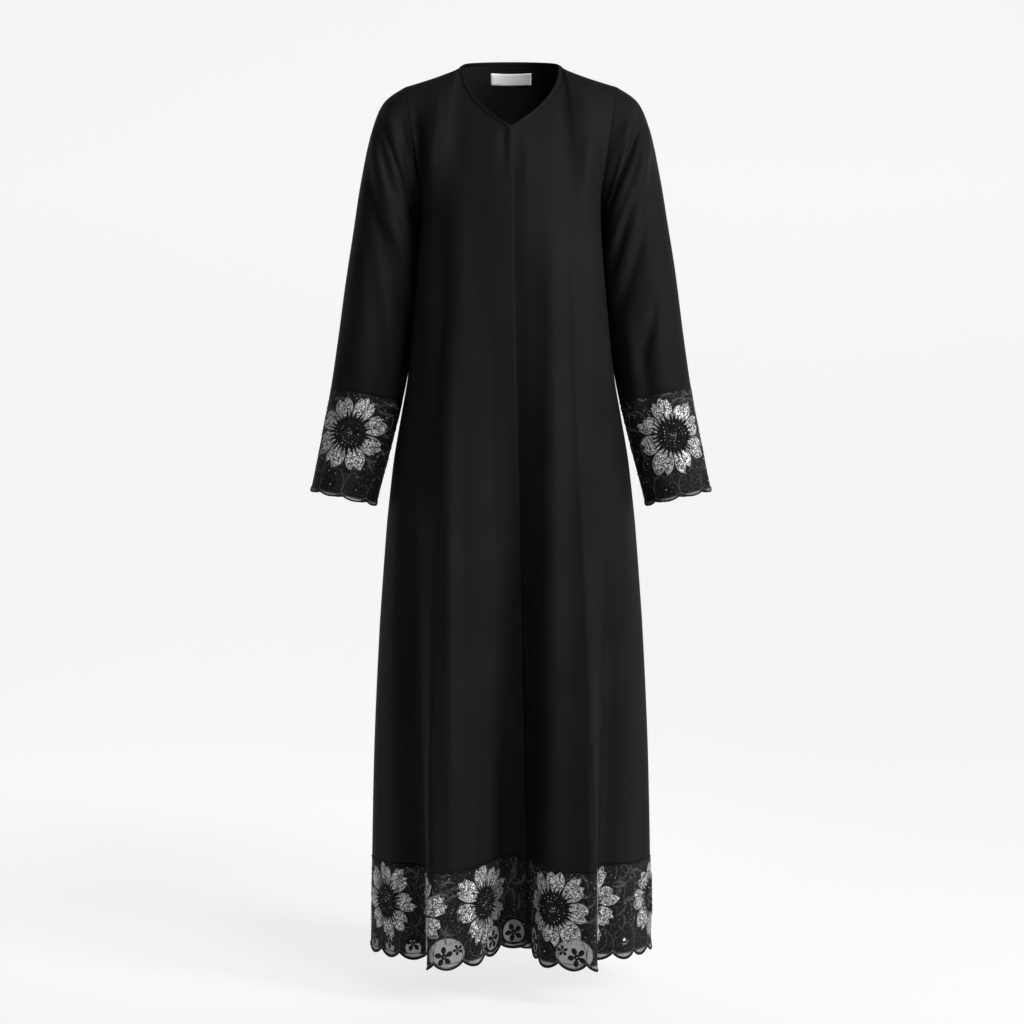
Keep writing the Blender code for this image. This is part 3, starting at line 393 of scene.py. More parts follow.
def drifted(shares, z):
    """Shares of the cloth's width, moved as the front edges drift to the wearer's left on their way down."""
    fallen = min(1.0, max(0.0, (DRIFT_START_Z - z) / (DRIFT_START_Z - HEM_Z)))
    return shares + EDGE_DRIFT * (1.0 - (1.0 - fallen) ** 2) * eased((0.22 - np.abs(shares)) / 0.16)


def skirt_ring(z, shares):
    """Points of the body at a height below the underarm. A share is 0 at the centre front, 1 at the centre
    back, and negative on the right side."""
    shares = drifted(np.asarray(shares, float), z)
    opened = folds_at(z)
    side = np.where(shares >= 0, 1.0, -1.0)
    near = at_share(oval_at(z), np.abs(shares)) * np.stack([side, np.ones_like(side)], axis=1)
    far_left, far_right = at_share(PLAN_LEFT, np.abs(shares)), at_share(PLAN_RIGHT, np.abs(shares))
    far = np.where(side[:, None] > 0, far_left, far_right)
    plan = near + (far - near) * opened
    lift = CENTRE_LIFT * np.exp(-((shares / CENTRE_LIFT_SHARE) ** 2))
    lift -= SIDE_DROP * np.sin(math.pi * np.abs(shares)) ** 4
    return folded(np.column_stack([plan, z + lift * opened]))


def neck_curve(share, out, front):
    """Points of the neckline, at shares of the way from its centre to the neck point, moved out from it."""
    half_width = NECK_HALF_WIDTH + out
    if front:
        drop = 1.0 - share
        x = half_width * (1.0 - drop**FRONT_NECK_POWER)
        y = -(FRONT_NECK_REACH + 0.2 * out) * drop
        z = NECK_POINT_Z - 0.55 * out * share - (FRONT_NECK_DROP + 1.15 * out) * drop
    else:
        angle = 0.5 * math.pi * (1.0 - share)
        x = half_width * np.cos(angle)
        y = (BACK_NECK_REACH + 0.25 * out) * np.sin(angle)
        z = NECK_POINT_Z - 0.55 * out + (BACK_NECK_RISE - 0.45 * out) * np.sin(angle).clip(0) ** 0.8
    return np.stack([x, y, z], axis=-1)


def top_edge(share, front):
    """The top edge of a body panel, at shares of its width: half of it is neckline and half is shoulder."""
    neck_part = neck_curve(np.minimum(share / NECK_SHARE, 1.0), BINDING_WIDTH, front)
    along = np.maximum(0.0, (share - NECK_SHARE) / (1.0 - NECK_SHARE))
    neck = neck_curve(np.array(1.0), BINDING_WIDTH, front)
    x = neck[0] + (SHOULDER_TIP[0] - neck[0]) * along
    z = neck[2] + (SHOULDER_TIP[1] - neck[2]) * along**SHOULDER_SAG
    shoulder = np.stack([x, np.zeros_like(x), z], axis=-1)
    return np.where((share <= NECK_SHARE)[..., None], neck_part, shoulder)


def patch_row(share, fall, front):
    """Points of the body above the underarm, on the left side. The share goes from the centre to the
    armhole, and the fall from the top edge to the underarm's height."""
    top = top_edge(share, front)
    body_share = 0.5 * share if front else 1.0 - 0.5 * share
    low = np.column_stack([at_share(oval_at(UNDERARM_Z), body_share), np.full(len(share), UNDERARM_Z)])
    down = 0.5 - 0.5 * math.cos(math.pi * fall)
    roundness = FRONT_ROUNDNESS if front else BACK_ROUNDNESS
    forward = 1.0 - (1.0 - down) ** roundness
    point = top + (low - top) * down
    point[:, 1] = top[:, 1] + (low[:, 1] - top[:, 1]) * forward
    fanned = math.sin(0.5 * math.pi * fall)
    sideways = fanned + (down - fanned) * eased((share - NECK_SHARE) / (1.0 - NECK_SHARE))
    point[:, 0] = top[:, 0] + (low[:, 0] - top[:, 0]) * sideways
    halfway = np.abs(top[:, 1] + (low[:, 1] - top[:, 1]) * (1.0 - 0.5**roundness))
    reach = (FRONT_ARMHOLE_DEPTH if front else BACK_ARMHOLE_DEPTH) + SHOULDER_FULLNESS * (1.0 - share)
    out = np.maximum(0.0, reach - halfway) * eased((share - 0.35) / 0.3)
    power = 1.0 if fall <= 0.5 else 1.0 + 2.0 * eased((1.0 - share) / 0.3)
    out = out * max(0.0, math.sin(math.pi * fall)) ** power
    point[:, 1] += -out if front else out
    return point


def body_row(shares, fall, front):
    """Points of the body above the underarm, at any shares of its width, on the front or on the back."""
    shares = np.asarray(shares, float)
    if front:
        middle_z = neck_curve(np.array(0.0), BINDING_WIDTH, True)[2]
        shares = drifted(shares, middle_z + (UNDERARM_Z - middle_z) * (0.5 - 0.5 * math.cos(math.pi * fall)))
    side = np.where(shares >= 0, 1.0, -1.0)
    patch_share = np.abs(shares) / 0.5 if front else (1.0 - np.abs(shares)) / 0.5
    point = patch_row(patch_share, fall, front)
    point[:, 0] *= side
    return folded(point, eased((1.0 - patch_share) / 0.15) * eased(fall / 0.2))


def armhole_points(angles, side):
    """Points of the armhole, where the body's panels and the sleeve meet."""
    edge = np.array([1.0])
    rows = [patch_row(edge, abs(angle) / math.pi, angle > 0)[0] for angle in angles]
    return np.array(rows) * (side, 1.0, 1.0)


SLEEVE_FOLD_LINES = [
    (
        np.array([math.radians(row[1]) * SLEEVE_RADIUS, row[2] * SLEEVE_LENGTH]),
        np.array([math.radians(row[3]) * SLEEVE_RADIUS, row[4] * SLEEVE_LENGTH]),
        row[5],
        row[6],
    )
    for row in SLEEVE_FOLDS
]


def sleeve_ring(angles, share, side):
    """Points of a sleeve: the angle goes round it, 0 on the outer line and positive to the front."""
    angles = np.asarray(angles, float)
    ring = table_at(SLEEVE_RINGS, share * (len(SLEEVE_RINGS) - 1))
    outer, inner = ring[0:2], ring[2:4]
    middle, half = (outer + inner) / 2, (outer - inner) / 2
    reach = np.where(angles > 0, ring[4], ring[5])
    y = -reach * np.sin(angles)
    points = np.column_stack(
        [middle[0] + half[0] * np.cos(angles), y, middle[1] + half[1] * np.cos(angles)]
    )
    places = np.column_stack([angles * SLEEVE_RADIUS, np.full(len(angles), share * SLEEVE_LENGTH)])
    height = fold_heights(SLEEVE_FOLD_LINES, places) * eased(share / 0.1)
    away = np.column_stack([half[0] * np.cos(angles), y, half[1] * np.cos(angles)])
    across = np.array([half[1], 0.0, -half[0]]) / np.linalg.norm(half)
    outward = away - np.outer(away @ across, across)
    points += outward / np.linalg.norm(outward, axis=1, keepdims=True) * height[:, None]
    points[:, 0] *= side
    blend = 1.0 - eased(share / 0.12)
    if blend > 0:
        first_ring = table_at(SLEEVE_RINGS, 0.0)
        flat_y = -np.where(angles > 0, first_ring[4], first_ring[5]) * np.sin(angles)
        seam = armhole_points(angles, side)
        points[:, 1] += (seam[:, 1] - flat_y) * blend
        if share == 0.0:
            points = seam
    return points


def half_weight(line, length):
    """Weight of a half of the body at its shares, larger where the hem turns sharply."""
    fine = np.linspace(0.0, 1.0, 1201)
    points = at_share(line, fine)
    heading = np.unwrap(np.arctan2(*np.diff(points, axis=0).T[::-1]))
    turn = np.concatenate([[0.0, 0.0], np.abs(np.diff(heading))])
    return fine, np.cumsum(np.full(len(fine), length / 1200) + 0.022 * turn)


def spaced_round(start, end, count):
    """Places round the body between two places, closer together where the hem turns sharply. A place is a
    share on the left side and on the right front, and 2 plus the share on the right back."""
    fine, left = half_weight(PLAN_LEFT, LEFT_LENGTH)
    _, right = half_weight(PLAN_RIGHT, RIGHT_LENGTH)
    places = np.concatenate([-fine[:0:-1], fine, 2.0 - fine[-2::-1]])
    weights = np.concatenate([-right[:0:-1], left, left[-1] + right[-1] - right[-2::-1]])
    low, high = np.interp([start, end], places, weights)
    found = np.interp(np.linspace(low, high, count), weights, places)
    found[0], found[-1] = start, end
    return found


def share_of(place):
    """The share at a place round the body."""
    return np.where(place > 1.0, place - 2.0, place)


def metres_of(place):
    """Arc length along the hem's plan at a place round the body, from the centre front."""
    place = np.asarray(place, float)
    back = LEFT_LENGTH + (place - 1.0) * RIGHT_LENGTH
    return np.where(place > 1.0, back, np.where(place < 0.0, place * RIGHT_LENGTH, place * LEFT_LENGTH))


def under_offset(shares):
    """How far the left front is set in, where it passes under the edge of the right front."""
    return UNDER_DEPTH * (1.0 - eased((shares - OVER_LAP) / (UNDER_RAMP - OVER_LAP)))


def grid_normals(grid, outward):
    """Normals of a grid of points, turned to the side where outward is positive."""
    across = np.gradient(grid, axis=1)
    down = np.gradient(grid, axis=0)
    normals = np.cross(across, down)
    normals /= np.maximum(np.linalg.norm(normals, axis=2, keepdims=True), 1e-12)
    return normals * math.copysign(1.0, float(np.sum(normals * outward)))


def from_axis(grid):
    return grid * (1.0, 1.0, 0.0)


def from_sleeve_axis(grid):
    return grid - grid.mean(axis=1, keepdims=True)


# Creases of the crepe, as the photograph shows them, and in the same manner on the back and on the sleeves'
# hidden sides: piece, facing (-1 front, 1 back), x and z of start, middle and end, width, height. A height
# below 0 is a trough.
CREASES = (
    ("front_right", -1, -0.009, -0.112, -0.011, -0.132, -0.010, -0.165, 0.0055, -0.0024),
    ("front_right", -1, -0.024, -0.118, -0.026, -0.160, -0.022, -0.220, 0.0100, 0.0012),
    ("front_right", -1, -0.148, -0.098, -0.141, -0.130, -0.138, -0.180, 0.0080, -0.0050),
    ("front_right", -1, -0.128, -0.120, -0.122, -0.170, -0.118, -0.230, 0.0110, 0.0030),
    ("front_right", -1, -0.104, -0.260, -0.106, -0.430, -0.110, -0.620, 0.0120, -0.0050),
    ("front_right", -1, -0.094, -0.440, -0.092, -0.860, -0.090, -1.270, 0.0150, 0.0120),
    ("front_right", -1, -0.158, -0.560, -0.156, -0.860, -0.160, -1.225, 0.0140, -0.0050),
    ("front_right", -1, -0.098, -0.400, -0.107, -0.800, -0.129, -1.225, 0.0045, 0.0009),
    ("front_right", -1, -0.074, -0.200, -0.074, -0.400, -0.078, -0.640, 0.0200, 0.0055),
    ("front_right", -1, -0.028, -0.420, -0.026, -0.700, -0.020, -1.000, 0.0090, -0.0018),
    ("front_right", -1, -0.122, -0.200, -0.128, -0.330, -0.124, -0.470, 0.0140, 0.0026),
    ("front_left", -1, 0.140, -0.110, 0.134, -0.150, 0.132, -0.200, 0.0080, -0.0036),
    ("front_left", -1, 0.118, -0.135, 0.112, -0.190, 0.110, -0.255, 0.0120, 0.0026),
    ("front_left", -1, 0.091, -0.250, 0.099, -0.560, 0.131, -1.225, 0.0042, 0.0014),
    ("front_left", -1, 0.012, -0.320, 0.010, -0.640, 0.012, -1.150, 0.0190, -0.0045),
    ("front_left", -1, 0.062, -0.280, 0.062, -0.620, 0.064, -1.240, 0.0190, 0.0110),
    ("front_left", -1, 0.108, -0.360, 0.114, -0.600, 0.128, -0.960, 0.0080, -0.0018),
    ("front_left", -1, 0.146, -0.520, 0.156, -0.800, 0.176, -1.160, 0.0120, 0.0022),
    ("front_left", -1, 0.020, -0.130, 0.024, -0.170, 0.022, -0.220, 0.0080, 0.0012),
    ("sleeve_right", -1, -0.193, -0.082, -0.180, -0.150, -0.150, -0.225, 0.0075, 0.0052),
    ("sleeve_right", -1, -0.168, -0.088, -0.160, -0.135, -0.146, -0.175, 0.0090, -0.0060),
    ("sleeve_right", -1, -0.216, -0.135, -0.194, -0.225, -0.166, -0.300, 0.0085, 0.0044),
    ("sleeve_right", -1, -0.200, -0.120, -0.182, -0.210, -0.158, -0.285, 0.0070, -0.0044),
    ("sleeve_right", -1, -0.160, -0.180, -0.147, -0.240, -0.152, -0.330, 0.0090, -0.0070),
    ("sleeve_right", -1, -0.186, -0.262, -0.168, -0.330, -0.164, -0.420, 0.0095, -0.0040),
    ("sleeve_right", -1, -0.230, -0.230, -0.212, -0.330, -0.196, -0.440, 0.0130, -0.0028),
    ("sleeve_right", -1, -0.205, -0.330, -0.192, -0.400, -0.186, -0.500, 0.0110, 0.0030),
    ("sleeve_right", -1, -0.244, -0.300, -0.244, -0.390, -0.238, -0.470, 0.0090, 0.0018),
    ("sleeve_left", -1, 0.184, -0.090, 0.170, -0.140, 0.150, -0.195, 0.0080, 0.0046),
    ("sleeve_left", -1, 0.176, -0.120, 0.162, -0.160, 0.146, -0.210, 0.0060, -0.0050),
    ("sleeve_left", -1, 0.182, -0.168, 0.166, -0.215, 0.151, -0.262, 0.0080, 0.0048),
    ("sleeve_left", -1, 0.193, -0.200, 0.172, -0.265, 0.153, -0.325, 0.0070, -0.0066),
    ("sleeve_left", -1, 0.208, -0.105, 0.196, -0.225, 0.168, -0.345, 0.0085, 0.0048),
    ("sleeve_left", -1, 0.222, -0.365, 0.214, -0.410, 0.200, -0.465, 0.0085, -0.0050),
    ("sleeve_left", -1, 0.240, -0.240, 0.248, -0.330, 0.256, -0.420, 0.0110, 0.0030),
    ("sleeve_left", -1, 0.180, -0.390, 0.186, -0.450, 0.200, -0.520, 0.0110, 0.0034),
    ("sleeve_left", -1, 0.226, -0.150, 0.222, -0.230, 0.212, -0.310, 0.0080, -0.0030),
    ("back", 1, 0.020, -0.050, 0.006, -0.120, -0.004, -0.230, 0.0130, 0.0018),
    ("back", 1, 0.140, -0.110, 0.128, -0.170, 0.122, -0.260, 0.0090, -0.0048),
    ("back", 1, -0.140, -0.105, -0.130, -0.175, -0.120, -0.250, 0.0085, -0.0042),
    ("back", 1, 0.110, -0.160, 0.100, -0.300, 0.104, -0.480, 0.0160, 0.0034),
    ("back", 1, -0.106, -0.150, -0.100, -0.310, -0.108, -0.520, 0.0150, 0.0032),
    ("back", 1, 0.060, -0.260, 0.054, -0.480, 0.060, -0.800, 0.0120, -0.0026),
    ("back", 1, -0.052, -0.300, -0.058, -0.560, -0.054, -0.860, 0.0130, -0.0028),
    ("back", 1, 0.004, -0.300, -0.002, -0.620, 0.004, -1.000, 0.0060, 0.0020),
    ("back", 1, 0.122, -0.420, 0.130, -0.760, 0.142, -1.160, 0.0050, 0.0022),
    ("back", 1, -0.124, -0.400, -0.132, -0.740, -0.143, -1.180, 0.0048, 0.0022),
    ("back", 1, -0.084, -0.520, -0.088, -0.800, -0.098, -1.150, 0.0080, -0.0020),
    ("back", 1, 0.086, -0.560, 0.092, -0.860, 0.100, -1.180, 0.0075, 0.0016),
    ("sleeve_right", 1, -0.196, -0.100, -0.178, -0.175, -0.152, -0.250, 0.0080, 0.0046),
    ("sleeve_right", 1, -0.176, -0.110, -0.162, -0.180, -0.148, -0.235, 0.0075, -0.0056),
    ("sleeve_right", 1, -0.218, -0.180, -0.198, -0.270, -0.170, -0.350, 0.0090, 0.0040),
    ("sleeve_right", 1, -0.206, -0.290, -0.184, -0.360, -0.166, -0.430, 0.0080, -0.0046),
    ("sleeve_right", 1, -0.236, -0.330, -0.222, -0.410, -0.206, -0.480, 0.0110, 0.0026),
    ("sleeve_left", 1, 0.190, -0.096, 0.176, -0.165, 0.152, -0.240, 0.0085, 0.0044),
    ("sleeve_left", 1, 0.204, -0.150, 0.186, -0.240, 0.158, -0.320, 0.0075, -0.0058),
    ("sleeve_left", 1, 0.222, -0.210, 0.206, -0.300, 0.176, -0.390, 0.0090, 0.0042),
    ("sleeve_left", 1, 0.236, -0.330, 0.214, -0.400, 0.190, -0.470, 0.0100, -0.0036),
)


def crease_heights(points, normals, rows):
    """Height added at points by creases, each along a curve through three places in the front view."""
    height = np.zeros(points.shape[:2])
    places = points[:, :, [0, 2]]
    for _, facing, x0, z0, x1, z1, x2, z2, width, depth in rows:
        start, middle, end = np.array([x0, z0]), np.array([x1, z1]), np.array([x2, z2])
        control = 2 * middle - (start + end) / 2
        t = np.linspace(0.0, 1.0, 13)[:, None]
        curve = (1 - t) ** 2 * start + 2 * t * (1 - t) * control + t**2 * end
        nearest = np.full(height.shape, 1e9)
        share = np.zeros(height.shape)
        for k in range(12):
            along = curve[k + 1] - curve[k]
            part = np.clip((places - curve[k]) @ along / (along @ along), 0.0, 1.0)
            away = np.linalg.norm(places - curve[k] - part[:, :, None] * along, axis=2)
            closer = away < nearest
            nearest = np.where(closer, away, nearest)
            share = np.where(closer, (k + part) / 12, share)
        taper = np.sin(math.pi * np.clip(0.06 + 0.88 * share, 0, 1)) ** 0.7
        faces = eased((normals[:, :, 1] * facing) / 0.35)
        height += depth * taper * faces * np.exp(-((nearest / width) ** 2))
    return height


def new_object(name, points, faces, uvs, material):
    """A smooth mesh object from arrays. uvs are its points' places in metres on the flat cloth, or None."""
    mesh = bpy.data.meshes.new(name)
    corners = [tuple(map(int, face)) for face in faces]
    mesh.from_pydata([tuple(p) for p in np.asarray(points, float)], [], corners)
    if uvs is not None:
        layer = mesh.uv_layers.new(name="cut")
        corner = np.empty(len(mesh.loops), dtype=np.int32)
        mesh.loops.foreach_get("vertex_index", corner)
        layer.data.foreach_set("uv", np.asarray(uvs, float)[corner].astype(np.float32).ravel())
    mesh.shade_smooth()
    obj = bpy.data.objects.new(name, mesh)
    SCENE.collection.objects.link(obj)
    mesh.materials.append(material)
    return obj


def only(obj):
    bpy.ops.object.select_all(action="DESELECT")
    obj.select_set(True)
    bpy.context.view_layer.objects.active = obj


def edit_all(obj, operator, **settings):
    """Runs an edit mode operator on the whole of a mesh."""
    only(obj)
    bpy.ops.object.mode_set(mode="EDIT")
    bpy.ops.mesh.select_all(action="SELECT")
    operator(**settings)
    bpy.ops.object.mode_set(mode="OBJECT")


def thicken(obj, thickness):
    """Gives a sheet its thickness, on the inner side of its faces."""
    only(obj)
    modifier = obj.modifiers.new("Solidify", "SOLIDIFY")
    modifier.thickness = thickness
    modifier.offset = -1.0
    modifier.use_even_offset = False
    bpy.ops.object.modifier_apply(modifier=modifier.name)


def grid_faces(rows, columns):
    i, j = np.meshgrid(np.arange(rows - 1), np.arange(columns - 1), indexing="ij")
    above, below = i * columns + j, (i + 1) * columns + j
    return np.stack([above, above + 1, below + 1, below], axis=-1).reshape(-1, 4)


def facing_out(points, faces, away):
    """The faces, all turned over if they look inwards. away holds the way out at each face."""
    corners = points[faces[:, :3]]
    normals = np.cross(corners[:, 1] - corners[:, 0], corners[:, 2] - corners[:, 0])
    return faces[:, ::-1] if np.sum(normals * away) < 0 else faces


def seam_dip(distance, along):
    """How far cloth dips beside a seam, with small uneven puckers along it."""
    pucker = 1.0 + 0.35 * np.sin(along / PUCKER_PITCH + 2.0 * np.sin(along / PUCKER_WANDER))
    return SEAM_DIP * pucker * np.exp(-((distance / SEAM_REACH) ** 2))


def creased(name, grid, normals):
    """A grid of points moved by the creases of its piece."""
    rows = [row for row in CREASES if row[0] == name]
    return grid + normals * crease_heights(grid, normals, rows)[:, :, None]


def crepe_panel(name, places, front, material, set_in=None):
    """One body panel of crepe, from its top edge to the top of the lace: its grid of points, and normals."""
    shares = share_of(places)
    rows = []
    for k in range(YOKE_ROWS):
        rows.append(body_row(shares, k / YOKE_ROWS, front))
    for k in range(SKIRT_ROWS + 1):
        rows.append(skirt_ring(UNDERARM_Z + (LACE_TOP_Z - UNDERARM_Z) * k / SKIRT_ROWS, shares))
    grid = np.array(rows)
    normals = grid_normals(grid, from_axis(grid))
    if set_in is not None:
        grid = grid - normals * set_in(shares)[None, :, None]
    grid = creased(name, grid, normals)
    steps = np.linalg.norm(np.diff(grid, axis=0), axis=2).mean(axis=1)
    down = np.concatenate([[0.0], np.cumsum(steps)])
    along = metres_of(places)
    for seam_share in (0.5, 1.5, -0.5):
        if np.any(np.isclose(places, seam_share)):
            away = np.abs(along - metres_of(seam_share))
            grid = grid - normals * seam_dip(away[None, :], down[:, None])[:, :, None]
    on_shoulder = eased((np.abs(shares if front else 1.0 - np.abs(shares)) - 0.5 * NECK_SHARE) / 0.02)
    to_top = np.linalg.norm(grid - grid[:1], axis=2)
    grid = grid - normals * (seam_dip(to_top, along[None, :]) * on_shoulder[None, :])[:, :, None]
    cut = np.stack(np.broadcast_arrays(along[None, :], -down[:, None]), axis=-1)
    points = grid.reshape(-1, 3)
    faces = grid_faces(*grid.shape[:2])
    faces = facing_out(points, faces, from_axis(points[faces[:, :3]].mean(axis=1)))
    obj = new_object(name + "_cloth", points, faces, cut.reshape(-1, 2), material)
    thicken(obj, CREPE)
    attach(obj, "root")
    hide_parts(name)
    sum_area(grid)
    return grid, normals


def sum_area(grid):
    crossed = np.cross(grid[1:, 1:] - grid[:-1, :-1], grid[1:, :-1] - grid[:-1, 1:])
    return float(0.5 * np.linalg.norm(crossed, axis=2).sum())


def crepe_sleeve(name, side, material):
    """One sleeve of crepe, from the armhole to the top of the cuff's lace, closed round the arm."""
    angles = np.linspace(-math.pi, math.pi, SLEEVE_COLUMNS + 1)
    shares = CUFF_TOP_SHARE * np.linspace(0.0, 1.0, SLEEVE_ROWS)
    grid = np.array([sleeve_ring(angles, s, side) for s in shares])
    normals = grid_normals(grid, from_sleeve_axis(grid))
    normals[:, 0] = normals[:, -1] = (normals[:, 0] + normals[:, -1]) / 2
    grid = creased(name, grid, normals)
    down_here = SLEEVE_LENGTH * shares
    dips = 0.3 * seam_dip(down_here[:, None], (angles * SLEEVE_RADIUS)[None, :])
    dips = dips + seam_dip(((math.pi - np.abs(angles)) * SLEEVE_RADIUS)[None, :], down_here[:, None])
    grid = grid - normals * dips[:, :, None]
    round_lengths = np.linalg.norm(np.diff(grid, axis=1), axis=2).sum(axis=1)
    lengths = np.linalg.norm(np.diff(grid, axis=0), axis=2).mean(axis=1)
    down = np.concatenate([[0.0], np.cumsum(lengths)])
    width = float(round_lengths.max())
    cut = np.stack(np.broadcast_arrays((angles / (2 * math.pi) * width)[None, :], -down[:, None]), axis=-1)
    points = grid.reshape(-1, 3)
    faces = grid_faces(*grid.shape[:2])
    centres = grid.mean(axis=1)[faces[:, 0] // grid.shape[1]]
    faces = facing_out(points, faces, points[faces[:, :3]].mean(axis=1) - centres)
    obj = new_object(name + "_cloth", points, faces, cut.reshape(-1, 2), material)
    edit_all(obj, bpy.ops.mesh.remove_doubles, threshold=0.00002)
    thicken(obj, CREPE)
    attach(obj, "root")
    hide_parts(name)
    sum_area(grid)


class Number:
    """A shader's number. Arithmetic on it adds Math nodes."""

    def __init__(self, finish, socket):
        self.finish, self.socket = finish, socket

    def math(self, operation, *others):
        return self.finish.math(operation, self, *others)

    def __add__(self, other):
        return self.math("ADD", other)

    def __radd__(self, other):
        return self.math("ADD", other)

    def __sub__(self, other):
        return self.math("SUBTRACT", other)

    def __rsub__(self, other):
        return self.finish.math("SUBTRACT", other, self)

    def __mul__(self, other):
        return self.math("MULTIPLY", other)

    def __rmul__(self, other):
        return self.math("MULTIPLY", other)

    def step(self, low, high):
        """0 below low, 1 above high, and a smooth ramp between them."""
        return self.finish.add("ShaderNodeMapRange", {"interpolation_type": "SMOOTHSTEP"},
                               {0: self, 1: low, 2: high, 3: 0.0, 4: 1.0}).number()


class Outputs:
    """The outputs of a node."""

    def __init__(self, finish, node):
        self.finish, self.node = finish, node

    def __getitem__(self, name):
        return self.node.outputs[name]

    def number(self, name=0):
        return Number(self.finish, self.node.outputs[name])


class Finish:
    """A procedural material on one Principled shader."""

    def __init__(self, name, roughness=0.7, metallic=0.0, colour=(0.5, 0.5, 0.5), **constants):
        self.material = bpy.data.materials.new(name)
        self.material.use_nodes = True
        self.nodes = self.material.node_tree.nodes
        self.links = self.material.node_tree.links
        self.shader = self.nodes["Principled BSDF"]
        self.shader.inputs["Base Color"].default_value = (*colour, 1.0)
        self.shader.inputs["Roughness"].default_value = roughness
        self.shader.inputs["Metallic"].default_value = metallic
        for name, value in constants.items():
            self.shader.inputs[name.replace("_", " ").title().replace("Ior", "IOR")].default_value = value

    def put(self, socket, value):
        if isinstance(value, Number):
            self.links.new(value.socket, socket)
        elif isinstance(value, bpy.types.NodeSocket):
            self.links.new(value, socket)
        else:
            socket.default_value = value

    def add(self, kind, settings=None, inputs=None):
        """A node of a type, with its settings set first, then the values or links of its sockets."""
        node = self.nodes.new(kind)
        for name, value in (settings or {}).items():
            if name == "stops":
                ramp = node.color_ramp
                while len(ramp.elements) < len(value):
                    ramp.elements.new(1.0)
                for element, (position, colour) in zip(ramp.elements, value):
                    element.position, element.color = position, colour
            else:
                setattr(node, name, value)
        for key, value in (inputs or {}).items():
            self.put(node.inputs[key], value)
        return Outputs(self, node)

    def math(self, operation, *values):
        return self.add("ShaderNodeMath", {"operation": operation}, dict(enumerate(values))).number()

    def cut(self, scale=(1.0, 1.0, 1.0)):
        """Places on the flat cloth, in metres times a scale."""
        uv = self.add("ShaderNodeUVMap", {"uv_map": "cut"})["UV"]
        return self.add("ShaderNodeMapping", None, {"Vector": uv, "Scale": scale})["Vector"]

    def place(self):
        """Places on the object, in metres."""
        return self.add("ShaderNodeTexCoord")["Object"]

    def measured(self, name):
        """A number stored at the points of the mesh."""
        return self.add("ShaderNodeAttribute", {"attribute_name": name}).number("Fac")

    def noise(self, vector, scale, detail=2.0, roughness=0.5):
        inputs = {"Vector": vector, "Scale": scale, "Detail": detail, "Roughness": roughness}
        return self.add("ShaderNodeTexNoise", None, inputs).number("Fac")

    def wave(self, direction, vector, scale, **inputs):
        """Bands of thread across a direction."""
        inputs = {name.replace("_", " ").title(): value for name, value in inputs.items()}
        return self.add("ShaderNodeTexWave", {"bands_direction": direction},
                        {"Vector": vector, "Scale": scale, **inputs}).number("Fac")

    def blend(self, share, first, second):
        """A colour between two colours."""
        ends = [(*end, 1.0) if isinstance(end, tuple) else end for end in (first, second)]
        return self.add("ShaderNodeMix", {"data_type": "RGBA"}, {0: share, 6: ends[0], 7: ends[1]})[2]

    def colour(self, value):
        self.put(self.shader.inputs["Base Color"], value)

    def rough(self, value):
        self.put(self.shader.inputs["Roughness"], value)

    def alpha(self, value):
        self.put(self.shader.inputs["Alpha"], value)

    def bump(self, height, strength, distance):
        inputs = {"Height": height, "Strength": strength, "Distance": distance}
        self.put(self.shader.inputs["Normal"], self.add("ShaderNodeBump", None, inputs)["Normal"])


def crepe_finish():
    """Matt black crepe: a fine pebbled grain over crossed threads, with a faint dry bloom."""
    crepe = Finish("black_crepe_finish", roughness=0.8, colour=(0.006, 0.006, 0.0065),
                   specular_ior_level=0.07)
    threads = crepe.cut()
    pebble = crepe.noise(threads, 1300.0, 2.0, 0.6)
    stretched = crepe.noise(crepe.cut((1.0, 0.35, 1.0)), 2100.0, 1.0)
    warp = crepe.wave("X", threads, 420.0, distortion=2.5, detail=1.0, detail_scale=3.0)
    cloudy = crepe.noise(threads, 9.0, 3.0)
    grain = 0.55 * pebble + 0.3 * stretched + 0.15 * warp
    bloom = (grain * 0.7 + cloudy * 0.5).step(0.35, 0.85)
    crepe.colour(crepe.blend(bloom, (0.0046, 0.0046, 0.0049), (0.0090, 0.0090, 0.0094)))
    crepe.rough(0.62 + 0.16 * grain)
    crepe.bump(grain, 0.35, 0.0004)
    return crepe.material


def net_finish():
    """Black net: dense and worked above, fine grey see-through net in the rings and arcs of the scallops."""
    net = Finish("black_net_finish", roughness=0.75, colour=(0.02, 0.02, 0.021), specular_ior_level=0.2)
    places = net.cut()
    cells = net.add("ShaderNodeTexVoronoi", {"feature": "DISTANCE_TO_EDGE", "voronoi_dimensions": "2D"},
                    {"Vector": places, "Scale": 640.0, "Randomness": 0.3}).number("Distance")
    thread = 1.0 - cells.step(0.12, 0.26)
    ring, hole = net.measured("ring"), net.measured("hole")
    from_edge, arc = net.measured("from_edge"), net.measured("arc")
    ragged = (net.noise(places, 330.0, 2.0) - 0.5) * 0.16
    in_ring = 1.0 - (ring + ragged).step(0.94, 1.02)
    below = 1.0 - (from_edge - arc).step(0.0030, 0.0036)
    in_arc = from_edge.step(0.0030, 0.0036) * below * arc.step(0.0006, 0.0016)
    window = in_ring.math("MAXIMUM", in_arc)
    clear = hole.step(0.92, 1.0)
    mottle = net.noise(places, 240.0, 3.0, 0.6)
    net.alpha((1.0 - window * (1.0 - thread) * 0.5) * clear)
    worked = net.blend(mottle.step(0.48, 0.68), (0.0014, 0.0014, 0.0016), (0.030, 0.030, 0.031))
    sheer = net.blend(net.noise(places, 90.0, 2.0), (0.19, 0.19, 0.195), (0.31, 0.31, 0.316))
    net.colour(net.blend(window, worked, sheer))
    net.bump(thread * 0.6 + mottle * 0.6, 0.5, 0.0005)
    return net.material


